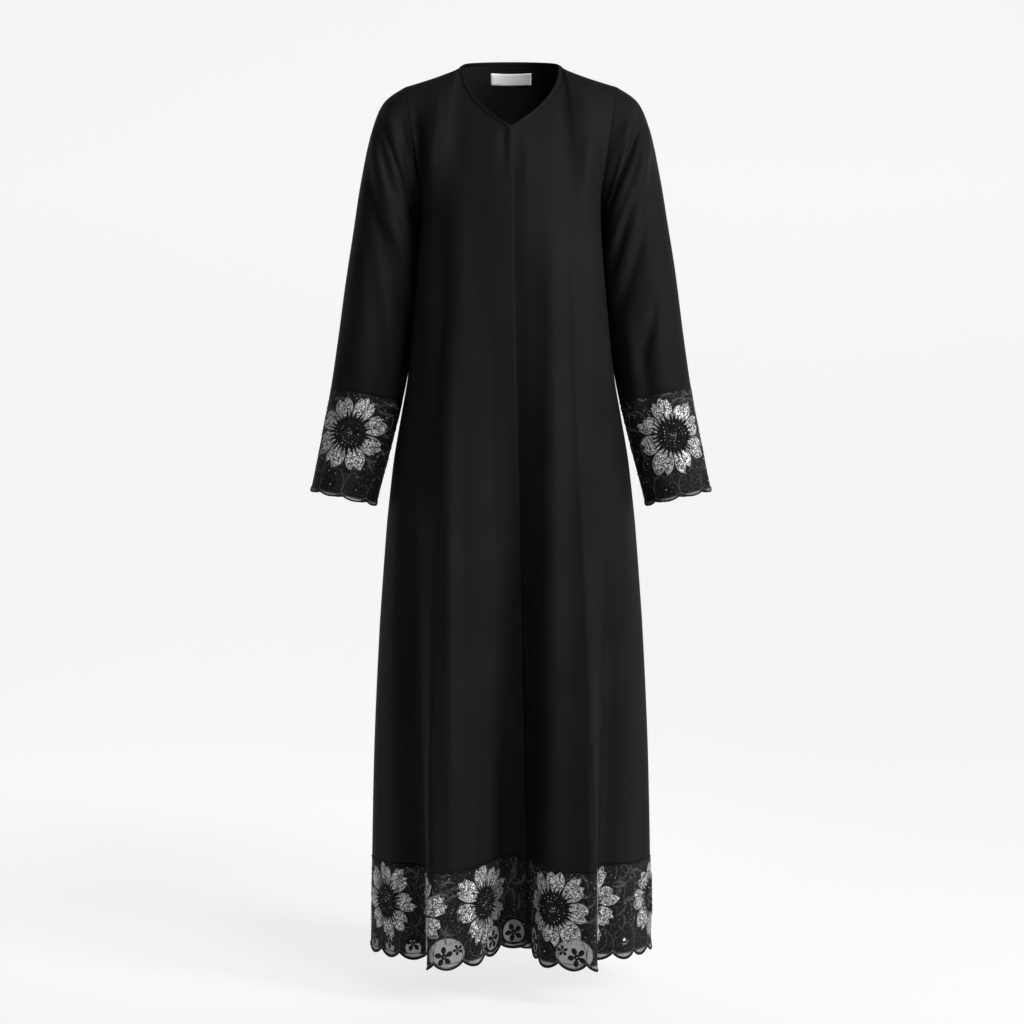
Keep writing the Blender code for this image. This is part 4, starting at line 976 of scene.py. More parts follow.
def cord_finish(name, deep, lit):
    """Viscose cord and satin stitch: plied thread, with painted highlights on the crowns of its plies over
    random tone.
    """
    cord = Finish(name, roughness=0.65, colour=lit, specular_ior_level=0.12)
    here = cord.place()
    ply = cord.wave("DIAGONAL", here, 420.0, distortion=1.5, detail=1.0)
    # Painted highlight: the ply crowns get the lighter colour and the grooves the darker one, with noise for
    # random tone.
    cord.colour(cord.blend((ply * 0.6 + cord.noise(here, 300.0) * 0.6).step(0.3, 0.9), deep, lit))
    cord.bump(ply, 0.5, 0.0002)
    return cord.material


def petal_finish():
    """Grey metallic embroidery under the sequins."""
    petal = Finish("petal_ground_finish", roughness=0.5, metallic=0.25, colour=(0.2, 0.2, 0.2))
    here = petal.place()
    speck = petal.noise(here, 700.0, 2.0, 0.7)
    petal.colour(petal.blend(speck.step(0.40, 0.62), (0.010, 0.010, 0.011), (0.22, 0.218, 0.215)))
    petal.bump(speck, 0.6, 0.0004)
    return petal.material


def sequin_finish():
    """Silver sequins, each painted a grey from near black to near white at random, as painted glints and dark
    reflections.
    """
    sequin = Finish("silver_sequin_finish", roughness=0.45, metallic=0.3, colour=(0.6, 0.6, 0.6))
    shade = sequin.measured("shade")
    # Painted reflections: the shade picks each sequin's grey, from near black to near white.
    stops = (
        (0.0, (0.02, 0.02, 0.02, 1)),
        (0.35, (0.20, 0.20, 0.20, 1)),
        (0.7, (0.72, 0.72, 0.715, 1)),
        (1.0, (0.98, 0.98, 0.97, 1)),
    )
    sequin.colour(sequin.add("ShaderNodeValToRGB", {"stops": stops}, {"Fac": shade})["Color"])
    sequin.rough(0.5 - 0.15 * shade)
    return sequin.material


def silver_cord_finish():
    """Pale grey cord round the petals, with painted shine on the crowns of its plies."""
    cord = Finish("silver_cord_finish", roughness=0.45, metallic=0.35, colour=(0.45, 0.45, 0.44))
    here = cord.place()
    ply = cord.wave("DIAGONAL", here, 500.0, distortion=2.0)
    shine = ply * 0.6 + cord.noise(here, 180.0) * 0.5
    # Painted highlight: the ply's crowns and noise lighten the cord's colour.
    cord.colour(cord.blend(shine, (0.16, 0.16, 0.16), (0.62, 0.62, 0.61)))
    cord.bump(ply, 0.4, 0.0002)
    return cord.material


def bead_finish():
    """Small dark glass beads; the paler ones are painted glints."""
    bead = Finish("bead_finish", roughness=0.18, colour=(0.3, 0.3, 0.3), coat_weight=0.6)
    pale = bead.measured("shade").step(0.55, 0.75)
    bead.colour(bead.blend(pale, (0.02, 0.02, 0.021), (0.62, 0.62, 0.6)))
    return bead.material


def satin_finish():
    """Pale woven label satin."""
    satin = Finish("label_satin_finish", roughness=0.42, colour=(0.66, 0.66, 0.65), sheen_weight=0.1)
    weave = satin.wave("Y", satin.cut(), 900.0, distortion=0.6)
    cloudy = satin.noise(satin.cut(), 60.0, 2.0)
    satin.colour(satin.blend(weave * 0.4 + cloudy * 0.6, (0.74, 0.74, 0.735), (0.93, 0.93, 0.92)))
    satin.bump(weave, 0.25, 0.0002)
    return satin.material


def sweep_finish():
    """Pale studio paper, lit evenly from behind."""
    sweep = Finish("studio_paper_finish", roughness=0.9, colour=(0.6, 0.6, 0.6), specular_ior_level=0.05,
                   emission_strength=0.76)
    fibre = sweep.noise(sweep.place(), 3.0, 2.0)
    sweep.colour(sweep.blend(fibre, (0.345, 0.345, 0.345), (0.355, 0.355, 0.355)))
    sweep.put(sweep.shader.inputs["Emission Color"], (1.0, 1.0, 1.0, 1.0))
    return sweep.material


def way_at(angle):
    """A step of 1 at an angle."""
    return np.array([math.cos(angle), math.sin(angle)])


def on_circle(angles):
    """Places on a circle of radius 1 at these angles."""
    return np.stack([np.cos(angles), np.sin(angles)], axis=1)


def unit_shape(kind, shaping=None, **settings):
    """The points and faces of a small shape, modelled once at unit size and then removed."""
    bpy.ops.object.select_all(action="DESELECT")
    getattr(bpy.ops.mesh, f"primitive_{kind}_add")(**settings)
    obj = bpy.context.object
    if shaping:
        shaping(obj)
    bpy.ops.object.transform_apply(location=True, rotation=True, scale=True)
    points = np.array([v.co[:] for v in obj.data.vertices])
    faces = [tuple(p.vertices) for p in obj.data.polygons]
    bpy.data.objects.remove(obj)
    return points, faces


def dished(obj):
    """Pushes a disc's middle point down, as a cupped sequin's."""
    middle = min(obj.data.vertices, key=lambda v: v.co.length)
    middle.co.z = -0.22


def laid_flat(obj):
    obj.rotation_euler = (0.0, math.pi / 2, 0.0)


class Lace:
    """One lace piece: its surface on the garment, and what is laid on it."""

    def __init__(self, name, along, grid, normals, downs, scallop_width):
        self.name, self.along = name, along
        below = NET_MARGIN / (downs[-1] - downs[-2])
        self.grid = np.concatenate([grid, grid[-1:] + (grid[-1:] - grid[-2:-1]) * below])
        self.normals = np.concatenate([normals, normals[-1:]])
        self.downs = np.concatenate([downs, [downs[-1] + NET_MARGIN]])
        self.height = float(downs[-1])
        self.start = float(along[0]) + LACE_SEAM_GAP / 2
        self.end = float(along[-1]) - LACE_SEAM_GAP / 2
        self.lobes = max(1, round((self.end - self.start) / scallop_width))
        self.pitch = (self.end - self.start) / self.lobes

    def lay(self, places, out):
        """Flat places, with heights over the net, as points on the garment."""
        rows, columns = self.grid.shape[:2]
        column = np.interp(places[:, 0], self.along, np.arange(columns))
        row = np.interp(places[:, 1], self.downs, np.arange(rows))
        j = np.minimum(column.astype(int), columns - 2)
        i = np.minimum(row.astype(int), rows - 2)
        u, v = (column - j)[:, None], (row - i)[:, None]

        def mixed(field):
            top = field[i, j] * (1 - u) + field[i, j + 1] * u
            low = field[i + 1, j] * (1 - u) + field[i + 1, j + 1] * u
            return top * (1 - v) + low * v

        normal = mixed(self.normals)
        normal /= np.maximum(np.linalg.norm(normal, axis=1, keepdims=True), 1e-9)
        return mixed(self.grid) + normal * np.asarray(out)[:, None]

    def edge(self, along):
        """How far down the lace reaches: round lobes with peaks between them."""
        share = np.clip((along - self.start) / self.pitch, 0.0, self.lobes - 1e-6) % 1.0
        return self.height - SCALLOP_DEPTH + SCALLOP_DEPTH * np.sin(math.pi * share) ** 0.7

    def crescent(self, along):
        """Height of the opening behind the scallop's edge, 0 between the lobes."""
        return np.clip(self.edge(along) - (self.height - CRESCENT_HEIGHT), 0.0, None)

    def piece(self, suffix, places, outs, faces, material, shades=None):
        """A mesh from flat places, cut off at the ends of the lace piece."""
        places, outs = np.asarray(places, float), np.asarray(outs, float)
        sizes = np.array([len(f) for f in faces])
        flat = np.concatenate([np.asarray(f, int) for f in faces]) if len(faces) else np.array([], int)
        owner = np.repeat(np.arange(len(faces)), sizes)
        inside = (places[flat, 0] > self.start) & (places[flat, 0] < self.end)
        kept = np.zeros(len(faces), bool)
        np.logical_or.at(kept, owner, inside)
        faces = [f for f, keep in zip(faces, kept) if keep]
        used = np.unique(np.concatenate([np.asarray(f, int) for f in faces]))
        index = np.full(len(places), -1)
        index[used] = np.arange(len(used))
        faces = [tuple(int(index[k]) for k in f) for f in faces]
        points = self.lay(places[used], outs[used])
        obj = new_object(f"{self.name}_{suffix}", points, faces, None, material)
        if shades is not None:
            layer = obj.data.attributes.new("shade", "FLOAT", "POINT")
            layer.data.foreach_set("value", np.asarray(shades, np.float32)[used])
        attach(obj, "root")


# A cord's section, as shares of half its width: round, and slim with fewer sides
ROUND_PROFILE = ((-1.0, -0.25), (-0.78, 0.62), (0.0, 1.0), (0.78, 0.62), (1.0, -0.25))
SLIM_PROFILE = ((-1.0, -0.3), (0.0, 1.0), (1.0, -0.3))


def cords_mesh(curves, radius, rise=0.0, closed=False, profile=ROUND_PROFILE):
    """Half-round cords along curves of flat places: their places, heights and faces."""
    profile = np.array(profile)
    sides = len(profile)
    places, outs, faces = [], [], []
    base = 0
    for curve, raised in zip(curves, np.broadcast_to(rise, len(curves))):
        curve = np.asarray(curve, float)
        count = len(curve)
        if closed:
            tangent = np.roll(curve, -1, axis=0) - np.roll(curve, 1, axis=0)
        else:
            tangent = np.gradient(curve, axis=0)
        tangent /= np.maximum(np.linalg.norm(tangent, axis=1, keepdims=True), 1e-9)
        across = np.stack([-tangent[:, 1], tangent[:, 0]], axis=1)
        ring = curve[:, None, :] + across[:, None, :] * (profile[:, 0] * radius)[None, :, None]
        places.append(ring.reshape(-1, 2))
        outs.append(np.tile(profile[:, 1] * radius + raised, count))
        last = count if closed else count - 1
        for k in range(last):
            a, b = base + k * sides, base + ((k + 1) % count) * sides
            for s in range(sides):
                t = (s + 1) % sides
                faces.append((a + s, a + t, b + t, b + s))
        if not closed:
            faces.append(tuple(base + s for s in range(sides))[::-1])
            faces.append(tuple(base + (count - 1) * sides + s for s in range(sides)))
        base += count * sides
    return np.concatenate(places), np.concatenate(outs), faces


def copies(shape, places, turns, lengths, widths, heights, rises, tilts=None):
    """Copies of a small shape on the flat lace: places, heights and faces of them all."""
    points, faces = shape
    count, size = len(places), len(points)
    x = points[None, :, 0] * lengths[:, None]
    y = points[None, :, 1] * widths[:, None]
    z = points[None, :, 2] * heights[:, None]
    if tilts is not None:
        z = z + x * tilts[:, 0:1] + y * tilts[:, 1:2]
    c, s = np.cos(turns)[:, None], np.sin(turns)[:, None]
    flat = np.stack([places[:, 0:1] + x * c - y * s, places[:, 1:2] + x * s + y * c], axis=-1)
    outs = z + rises[:, None]
    all_faces = [tuple(k * size + v for v in face) for k in range(count) for face in faces]
    return flat.reshape(-1, 2), outs.reshape(-1), all_faces


def inside_outline(outline, places):
    """Which places lie inside a closed outline."""
    found = np.zeros(len(places), bool)
    x, y = places[:, 0], places[:, 1]
    for (x0, y0), (x1, y1) in zip(outline, np.roll(outline, -1, axis=0)):
        crosses = (y0 > y) != (y1 > y)
        at = x0 + (y - y0) * (x1 - x0) / (y1 - y0 if y1 != y0 else 1e-12)
        found ^= crosses & (x < at)
    return found


# A petal's edge as shares of the flower's radius and of half a petal's angle, from its root round its teeth
PETAL_EDGE = (
    (0.38, -0.36), (0.46, -0.64), (0.55, -0.82), (0.66, -0.90), (0.78, -0.88), (0.88, -0.74), (0.99, -0.62),
    (0.965, -0.44), (1.075, -0.24), (0.99, -0.10), (0.93, 0.02), (1.00, 0.14), (1.07, 0.32), (0.96, 0.44),
    (0.985, 0.62), (0.89, 0.74), (0.78, 0.88), (0.66, 0.90), (0.55, 0.80), (0.46, 0.62), (0.38, 0.36),
)

# The same for a petal with two tips
TWO_TIPPED_EDGE = (
    (0.38, -0.36), (0.46, -0.66), (0.55, -0.84), (0.66, -0.92), (0.78, -0.90), (0.89, -0.78), (0.98, -0.56),
    (1.06, -0.34), (0.99, -0.22), (0.92, -0.06), (0.89, 0.06), (0.95, 0.16), (1.00, 0.30), (0.97, 0.48),
    (0.92, 0.66), (0.85, 0.80), (0.76, 0.90), (0.66, 0.92), (0.55, 0.82), (0.46, 0.64), (0.38, 0.36),
)


def petal_outlines(centre, turn, radius):
    """The outlines of a flower's petals, each a little different."""
    half = math.pi / PETALS
    outlines = []
    for k in range(PETALS):
        reach = RANDOM.uniform(0.95, 1.10)
        notch = RANDOM.uniform(-0.35, 0.35)
        uneven = RANDOM.uniform(-0.07, 0.07)
        outline = []
        edge = TWO_TIPPED_EDGE if RANDOM.uniform() < 0.55 else PETAL_EDGE
        side = RANDOM.choice([-1.0, 1.0])
        for share, lean in (edge if side > 0 else [(share, -lean) for share, lean in edge]):
            outer = eased((share - 0.55) / 0.4)
            moved = lean + notch * outer * (1.0 - abs(lean))
            grown = share * (1.0 + (reach - 1.0 + uneven * np.sign(lean)) * outer)
            angle = turn + half * (2 * k + moved)
            away = radius * grown
            outline.append((centre[0] + away * math.cos(angle), centre[1] + away * math.sin(angle)))
        outlines.append(np.array(outline))
    return outlines


def cushions(outlines, height, rises, inner=0.62):
    """Low domes on outlines, closed below: places, heights and faces."""
    places, outs, faces = [], [], []
    base = 0
    for outline, rise in zip(outlines, np.broadcast_to(rises, len(outlines))):
        count = len(outline)
        middle = outline.mean(axis=0)
        ring = middle + (outline - middle) * inner
        places += [outline, ring, middle[None, :], ring, middle[None, :]]
        low = rise - 0.0002
        outs += [np.full(count, low), np.full(count, rise + 0.8 * height), [rise + height],
                 np.full(count, low), [low]]
        for k in range(count):
            n = (k + 1) % count
            for first, tip, turn in ((count, 2 * count, 1), (2 * count + 1, 3 * count + 1, -1)):
                faces.append((base + k, base + n, base + first + n, base + first + k)[::turn])
                faces.append((base + first + k, base + first + n, base + tip)[::turn])
        base += 3 * count + 2
    return np.concatenate(places), np.concatenate(outs), faces


def serrated(centre, turn, length, width):
    """The outline of a broad leaf with a toothed edge."""
    share = np.linspace(0.0, 1.0, 12)
    half = 0.5 * width * np.sin(math.pi * share ** 0.85)
    tooth = np.where(np.arange(12) % 2 == 1, 1.16, 0.9)
    x = (share - 0.5) * length
    right = np.stack([x, half * tooth], axis=1)
    left = np.stack([x, -half * tooth], axis=1)[::-1][1:-1]
    return turned(np.concatenate([right, left]), turn) + centre


def turned(places, angle):
    """Flat places turned about the origin."""
    c, s = math.cos(angle), math.sin(angle)
    return np.stack([places[:, 0] * c - places[:, 1] * s, places[:, 0] * s + places[:, 1] * c], axis=1)


def round_petals(centre, turn, size, count=5):
    """The outlines of a small flower's round petals."""
    outlines = []
    angle = np.linspace(0.0, 2 * math.pi, 10, endpoint=False)
    for k in range(count):
        petal = np.stack([0.62 + 0.36 * np.cos(angle), 0.27 * np.sin(angle)], axis=1) * size
        outlines.append(turned(petal, turn + 2 * math.pi * k / count) + centre)
    return outlines


def walked(root, headings, steps):
    """The line that steps at these headings draw from a place."""
    moved = np.cumsum(on_circle(headings) * steps[:, None], axis=0)
    return root + np.concatenate([[[0.0, 0.0]], moved])


def frond(root, heading, length, bend):
    """A fern's stem with a curled tip, and the places, turns and lengths of its leaflets."""
    t = np.linspace(0.0, 1.0, 14)
    curl = np.linspace(0.0, 1.0, 9)[1:]
    headings = np.concatenate([heading + bend * t, heading + bend + math.copysign(4.6, bend) * curl])
    steps = np.concatenate([np.full(14, length / 14), length * 0.085 * (1.15 - curl)])
    stem = walked(root, headings, steps)
    places, turns, lengths = [], [], []
    for k in range(2, 14):
        for side in (-1.0, 1.0):
            size = length * 0.19 * math.sin(math.pi * (0.12 + 0.80 * k / 14)) * RANDOM.uniform(0.8, 1.15)
            angle = headings[k] + side * RANDOM.uniform(0.75, 0.95)
            places.append(stem[k] + 0.45 * size * way_at(angle))
            turns.append(angle)
            lengths.append(size)
    return stem, places, turns, lengths


def spread_points(low, high, spacing, clear):
    """Uneven places that cover a rectangle of the lace, left out where clear is not met."""
    found = []
    rows = max(1, int((high[1] - low[1]) / spacing))
    columns = max(1, int((high[0] - low[0]) / spacing))
    for i in range(rows + 1):
        for j in range(columns + 1):
            place = np.array([low[0] + (j + 0.5 * (i % 2)) * spacing, low[1] + i * spacing * 0.9])
            place = place + RANDOM.uniform(-0.3, 0.3, 2) * spacing
            if low[0] < place[0] < high[0] and low[1] < place[1] < high[1] and clear(place):
                found.append(place)
    return found


class LaceDrawing:
    """What is drawn on one lace piece, gathered by the kind of thread before it is made into meshes."""

    def __init__(self, lace, flowers, lobe_kinds):
        self.lace = lace
        self.flowers = [(np.array([along, down]), turn) for along, down, turn in flowers]
        self.windows, self.holes = [], []
        self.cords, self.fine_cords, self.edge_cords, self.pale_cords = [], [], [], []
        self.dark_outlines, self.leaflets, self.beads, self.seam_cords = [], [], [], []
        for k in range(lace.lobes):
            self.draw_lobe(k, lobe_kinds[k % len(lobe_kinds)])

    def free_of_flowers(self, place, share):
        """Whether a place is further from every large flower than a share of its radius."""
        return all(np.linalg.norm(place - centre) > share * FLOWER_RADIUS for centre, _ in self.flowers)

    def draw_blossom(self, centre, size, turn):
        """A small dark flower with a bead in its middle."""
        self.dark_outlines += round_petals(centre, turn, size)
        angle = np.linspace(0.0, 2 * math.pi, 8, endpoint=False)
        self.dark_outlines.append(centre + 0.3 * size * on_circle(angle))
        # A pale bead: a painted glint in the small flower's middle.
        self.beads.append((centre, 0.0009, 0.0011, 0.9))

    def draw_lobe(self, k, kind):
        """What fills one scallop, and the scrolls of cord at its sides."""
        lace = self.lace
        middle = lace.start + (k + 0.5) * lace.pitch
        low = lace.height
        turn = RANDOM.uniform(0.0, 1.2)
        if kind == "round":
            centre = np.array([middle, low - 0.0270])
            self.windows.append((centre, 0.0185, 1.0))
            self.draw_blossom(centre + (0.0, 0.002), 0.0145, turn)
            angle = np.linspace(0.0, 2 * math.pi, 37)
            self.edge_cords.append(centre + 0.0195 * on_circle(angle))
        elif kind == "wide":
            centre = np.array([middle + 0.003, low - 0.0245])
            self.windows.append((centre, 0.0225, 1.35))
            self.draw_blossom(centre + (0.004, 0.004), 0.0150, turn)
            self.draw_blossom(centre + (-0.0180, -0.0040), 0.0085, turn + 0.4)
        elif kind == "blossom":
            centre = np.array([middle, low - 0.0235])
            self.windows.append((centre + (0.0, 0.006), 0.0125, 1.0))
            self.draw_blossom(centre + (0.0, -0.001), 0.0125, turn)
        elif kind == "leaf":
            centre = np.array([middle, low - 0.0300])
            outline = serrated(centre, LEAF_TURN + RANDOM.uniform(-0.15, 0.15), 0.040, 0.023)
            self.dark_outlines.append(outline)
            self.windows.append((centre + (-0.0130, 0.006), 0.0105, 1.25))
            self.draw_blossom(centre + (-0.0170, 0.008), 0.0085, turn)
            self.cords.append(np.concatenate([outline, outline[:1]]))
            along = np.linspace(-0.018, 0.018, 6)
            spine = centre + turned(np.stack([along, np.zeros(6)], axis=1), LEAF_TURN)
            self.cords.append(spine)
            for n in range(1, 5):
                size = 0.0085 - 0.001 * abs(n - 2)
                for angle in (LEAF_TURN - 0.8, LEAF_TURN + 0.8):
                    self.leaflets.append((spine[n] + 0.45 * size * way_at(angle), angle, size))
        elif kind == "crescent":
            self.draw_blossom(np.array([middle, low - 0.0240]), 0.0120, turn)
            along = middle + np.linspace(-0.30, 0.30, 12) * lace.pitch
            for drop in (0.0040, 0.0052):
                self.pale_cords.append(np.stack([along, lace.edge(along) - drop], axis=1))
        elif kind == "posy":
            self.draw_blossom(np.array([middle, low - 0.0240]), 0.0120, turn)
        elif kind == "hole":
            centre = np.array([middle - 0.002, low - 0.0300])
            self.holes.append((centre, 0.0034))
            angle = np.linspace(0.4, 2.2, 10)
            self.pale_cords.append(centre + 0.0072 * on_circle(angle))
        for side in (-1.0, 1.0):
            self.draw_scroll(np.array([middle + side * 0.5 * lace.pitch, low - 0.0135]), side)

    def draw_scroll(self, root, side):
        """An arch of cord that rises from between two lobes and curls in at its tip."""
        rise = RANDOM.uniform(0.030, 0.062)
        lean = RANDOM.uniform(0.25, 0.75)
        t = np.linspace(0.0, 1.0, 16)
        headings = -0.5 * math.pi + side * (lean * t + 2.2 * t**3)
        steps = rise / 14 * (1.1 - 0.5 * t)
        self.add_clear(self.fine_cords, walked(root, headings, steps))

    def add_clear(self, kind, line):
        """Keeps the stretches of a cord that run outside the flowers."""
        run = []
        for place in [*line, None]:
            if place is not None and self.free_of_flowers(place, 0.80):
                run.append(place)
                continue
            if len(run) > 2:
                kind.append(np.array(run))
            run = []

    def draw_ground(self, start):
        """Ferns, arches and small beads between the large flowers, from a place along the lace on."""
        lace = self.lace
        low, high = (start + 0.004, 0.006), (lace.end - 0.004, lace.height - 0.046)
        for place in spread_points(low, high, 0.0190, lambda p: self.free_of_flowers(p, 0.85)):
            heading = RANDOM.uniform(0.0, 2 * math.pi)
            bend = RANDOM.choice([-1.0, 1.0]) * RANDOM.uniform(0.7, 1.6)
            stem, places, turns, lengths = frond(place, heading, RANDOM.uniform(0.021, 0.032), bend)
            self.add_clear(self.fine_cords, stem)
            for p, turn, size in zip(places, turns, lengths):
                if self.free_of_flowers(p, 0.86) and 0.002 < p[1] < lace.height - 0.018:
                    self.leaflets.append((p, turn, size))
        for place in spread_points(low, high, 0.036, lambda p: self.free_of_flowers(p, 0.9)):
            radius = RANDOM.uniform(0.008, 0.017)
            first = RANDOM.uniform(math.pi, 1.4 * math.pi)
            angle = np.linspace(first, first + RANDOM.uniform(2.0, 3.6), 16)
            arch = place + radius * (on_circle(angle) * (1.0, 1.25))
            self.add_clear(self.cords, arch)
        low, high = (start + 0.003, 0.003), (lace.end - 0.003, lace.height - 0.02)
        for place in spread_points(low, high, 0.011, lambda p: self.free_of_flowers(p, 0.9)):
            # Their shades paint some of these beads pale, as glints.
            self.beads.append((place, RANDOM.uniform(0.0005, 0.0008), 0.0006, RANDOM.uniform(0.2, 1.0)))

    def draw_edge(self, start):
        """The cords that follow the scallops, and the one that follows the seam."""
        lace = self.lace
        along = np.linspace(start, lace.end, int((lace.end - start) / 0.0016))
        edge = lace.edge(along)
        self.edge_cords.append(np.stack([along, edge - 0.0010], axis=1))
        self.cords.append(np.stack([along, edge - 0.0036], axis=1))
        inner = edge - 0.0050 - lace.crescent(along) * 0.90
        self.cords.append(np.stack([along, inner], axis=1))
        self.seam_cords.append(np.stack([along, np.full(len(along), 0.0003)], axis=1))


def fan(count, radius, size):
    """Turns and distances of a ring of small pieces round a flower's centre, uneven as by hand."""
    turns = 2 * math.pi * (np.arange(count) + RANDOM.uniform(-0.22, 0.22, count)) / count
    return turns, radius + RANDOM.uniform(-0.5, 0.5, count) * size


def spikes(centre, turns, reach, near):
    """Spikes round a flower's centre: place, turn and length of each."""
    return [(centre + way_at(a) * (near + far) / 2, a, far - near) for a, far in zip(turns, reach)]


def make_flowers(drawing, shapes, finishes):
    """The silver flowers of one lace piece."""
    lace = drawing.lace
    petals, rises, discs = [], [], []
    sequins, dark_spikes, pale_spikes, beads = [], [], [], []
    for centre, turn in drawing.flowers:
        for k, outline in enumerate(petal_outlines(centre, turn, FLOWER_RADIUS)):
            rise = 0.0001 + 0.0002 * (k % 2)
            petals.append(outline)
            rises.append(rise)
            sequins += sequin_places(outline, centre, rise)
        circle = on_circle(np.linspace(0.0, 2 * math.pi, 36, endpoint=False))
        discs.append(centre + 0.46 * FLOWER_RADIUS * circle)
        for count, inner, outer in DARK_SPIKE_RINGS:
            turns, reach = fan(count, outer * FLOWER_RADIUS, 0.14 * FLOWER_RADIUS)
            dark_spikes += spikes(centre, turns + turn, reach, inner * FLOWER_RADIUS)
        count, inner, outer = SILVER_SPIKE_RING
        turns, reach = fan(count, outer * FLOWER_RADIUS, 0.10 * FLOWER_RADIUS)
        between = spikes(centre, turns + turn + math.pi / count, reach, inner * FLOWER_RADIUS)
        pale_spikes += [(place, a + math.pi, length) for place, a, length in between]
        # Beads at the centre; their shades paint some of them pale, as glints.
        beads.append((centre, 0.0017, 0.0028, 0.62))
        for count, radius, shade in BEAD_RINGS:
            turns, reach = fan(count, radius * FLOWER_RADIUS, 0.05 * FLOWER_RADIUS)
            for a, far in zip(turns, reach):
                size = FLOWER_BEAD * RANDOM.uniform(0.8, 1.2)
                beads.append((centre + far * way_at(a), size, 0.0024, shade * RANDOM.uniform(0.5, 1.3)))
        drawing.cords.append(centre + 0.13 * FLOWER_RADIUS * np.concatenate([circle[::3], circle[:1]]))
    lace.piece("petals", *cushions(petals, 0.0010, rises), finishes["petal"])
    rims = [middle_shrunk(petal, 0.985) for petal in petals]
    rims = cords_mesh(rims, PETAL_CORD, np.array(rises) + 0.0004, True)
    lace.piece("petal_cords", *rims, finishes["silver_cord"])
    lace.piece("flower_centres", *cushions(discs, 0.0006, 0.0013, 0.9), finishes["cord"])
    place_sequins(lace, shapes["sequin"], sequins, finishes["sequin"])
    spike = shapes["spike"]
    place_spikes(lace, "dark_spikes", spike, dark_spikes, 0.0046, 0.0014, 0.0020, finishes["cord"])
    place_spikes(lace, "silver_spikes", spike, pale_spikes, 0.0020, 0.0010, 0.0025, finishes["silver_cord"])
    place_beads(lace, "flower_beads", shapes["bead"], beads, finishes["bead"])


def middle_shrunk(outline, share):
    """An outline drawn in towards its middle."""
    middle = outline.mean(axis=0)
    return middle + (outline - middle) * share


def sequin_places(outline, centre, base):
    """Sequins in rows over a petal: place, turn, radius, height, tilts and shade of each. The shade is a
    painted glint or dark reflection.
    """
    low, high = outline.min(axis=0), outline.max(axis=0)
    rows = int((high[1] - low[1]) / (SEQUIN_PITCH * SEQUIN_ROWS)) + 1
    columns = int((high[0] - low[0]) / SEQUIN_PITCH) + 1
    i, j = np.meshgrid(np.arange(rows), np.arange(columns), indexing="ij")
    x, y = low[0] + (j + 0.5 * (i % 2)) * SEQUIN_PITCH, low[1] + i * SEQUIN_PITCH * SEQUIN_ROWS
    grid = np.stack([x, y], axis=-1).reshape(-1, 2)
    grid = grid + RANDOM.uniform(-0.3, 0.3, grid.shape) * SEQUIN_PITCH
    grid = grid[inside_outline(middle_shrunk(outline, 0.93), grid)]
    away = np.min(np.linalg.norm(grid[:, None, :] - outline[None, :, :], axis=2), axis=1)
    near = np.linalg.norm(grid - centre, axis=1) < 0.48 * FLOWER_RADIUS
    found = []
    for place, edge, hidden in zip(grid, away, near):
        if hidden:
            continue
        rise = base + 0.0005 + 0.0008 * min(1.0, edge / 0.006)
        found.append((place, RANDOM.uniform(0.0, 6.3), RANDOM.uniform(0.00075, 0.0011), rise,
                      RANDOM.uniform(-0.22, 0.22), RANDOM.uniform(-0.22, 0.22), RANDOM.beta(0.7, 0.7)))
    return found


def place_sequins(lace, shape, items, material):
    places = np.array([item[0] for item in items])
    turns, sizes, rises, tilt_x, tilt_y, shades = np.array([item[1:] for item in items]).T
    tilts = np.stack([tilt_x, tilt_y], axis=1)
    mesh = copies(shape, places, turns, sizes, sizes, sizes, rises, tilts)
    lace.piece("sequins", *mesh, material, np.repeat(shades, len(shape[0])))


def place_spikes(lace, suffix, shape, items, width, height, rise, material):
    places = np.array([item[0] for item in items])
    turns, lengths = np.array([item[1:] for item in items]).T
    width, height, rise = np.full((3, len(items)), [[width], [height], [rise]])
    lace.piece(suffix, *copies(shape, places, turns, lengths, width, height, rise), material)


def place_beads(lace, suffix, shape, items, material):
    places = np.array([item[0] for item in items])
    sizes, rises, shades = np.array([item[1:] for item in items]).T
    turns = RANDOM.uniform(0.0, 6.3, len(items))
    mesh = copies(shape, places, turns, sizes, sizes, sizes, rises)
    lace.piece(suffix, *mesh, material, np.repeat(shades, len(shape[0])))


def make_net(drawing, material):
    """The net ground of one lace piece, cut to its scallops."""
    lace = drawing.lace
    count = int((lace.end - lace.start) / 0.0024)
    along = np.linspace(lace.start, lace.end, count)
    edge = lace.edge(along)
    rows = np.concatenate([np.linspace(0.0, 0.86, 15), np.linspace(0.895, 1.0, 6)])
    down = rows[:, None] * edge[None, :]
    places = np.stack([np.broadcast_to(along, down.shape), down], axis=-1).reshape(-1, 2)
    points = lace.lay(places, np.zeros(len(places)))
    faces = grid_faces(len(rows), count)
    above = lace.lay(places, np.full(len(places), 0.001)) - points
    faces = facing_out(points, faces, above[faces[:, 0]])
    obj = new_object(lace.name + "_net", points, faces, places * (1.0, -1.0), material)
    ring = np.full(len(places), 3.0)
    for centre, radius, stretch in drawing.windows:
        away = (places - centre) / (radius * max(1.0, stretch * 0.95), radius)
        ring = np.minimum(ring, np.linalg.norm(away, axis=1))
    hole = np.full(len(places), 3.0)
    for centre, radius in drawing.holes:
        hole = np.minimum(hole, np.linalg.norm(places - centre, axis=1) / radius)
    from_edge = (edge[None, :] - down).reshape(-1)
    arc = np.broadcast_to(lace.crescent(along), down.shape).reshape(-1)
    for name, values in (("ring", ring), ("hole", hole), ("from_edge", from_edge), ("arc", arc)):
        layer = obj.data.attributes.new(name, "FLOAT", "POINT")
        layer.data.foreach_set("value", np.ascontiguousarray(values, np.float32))
    thicken(obj, NET)
    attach(obj, "root")
    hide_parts(lace.name)
    grid = points.reshape(len(rows), count, 3)
    sum_area(grid)


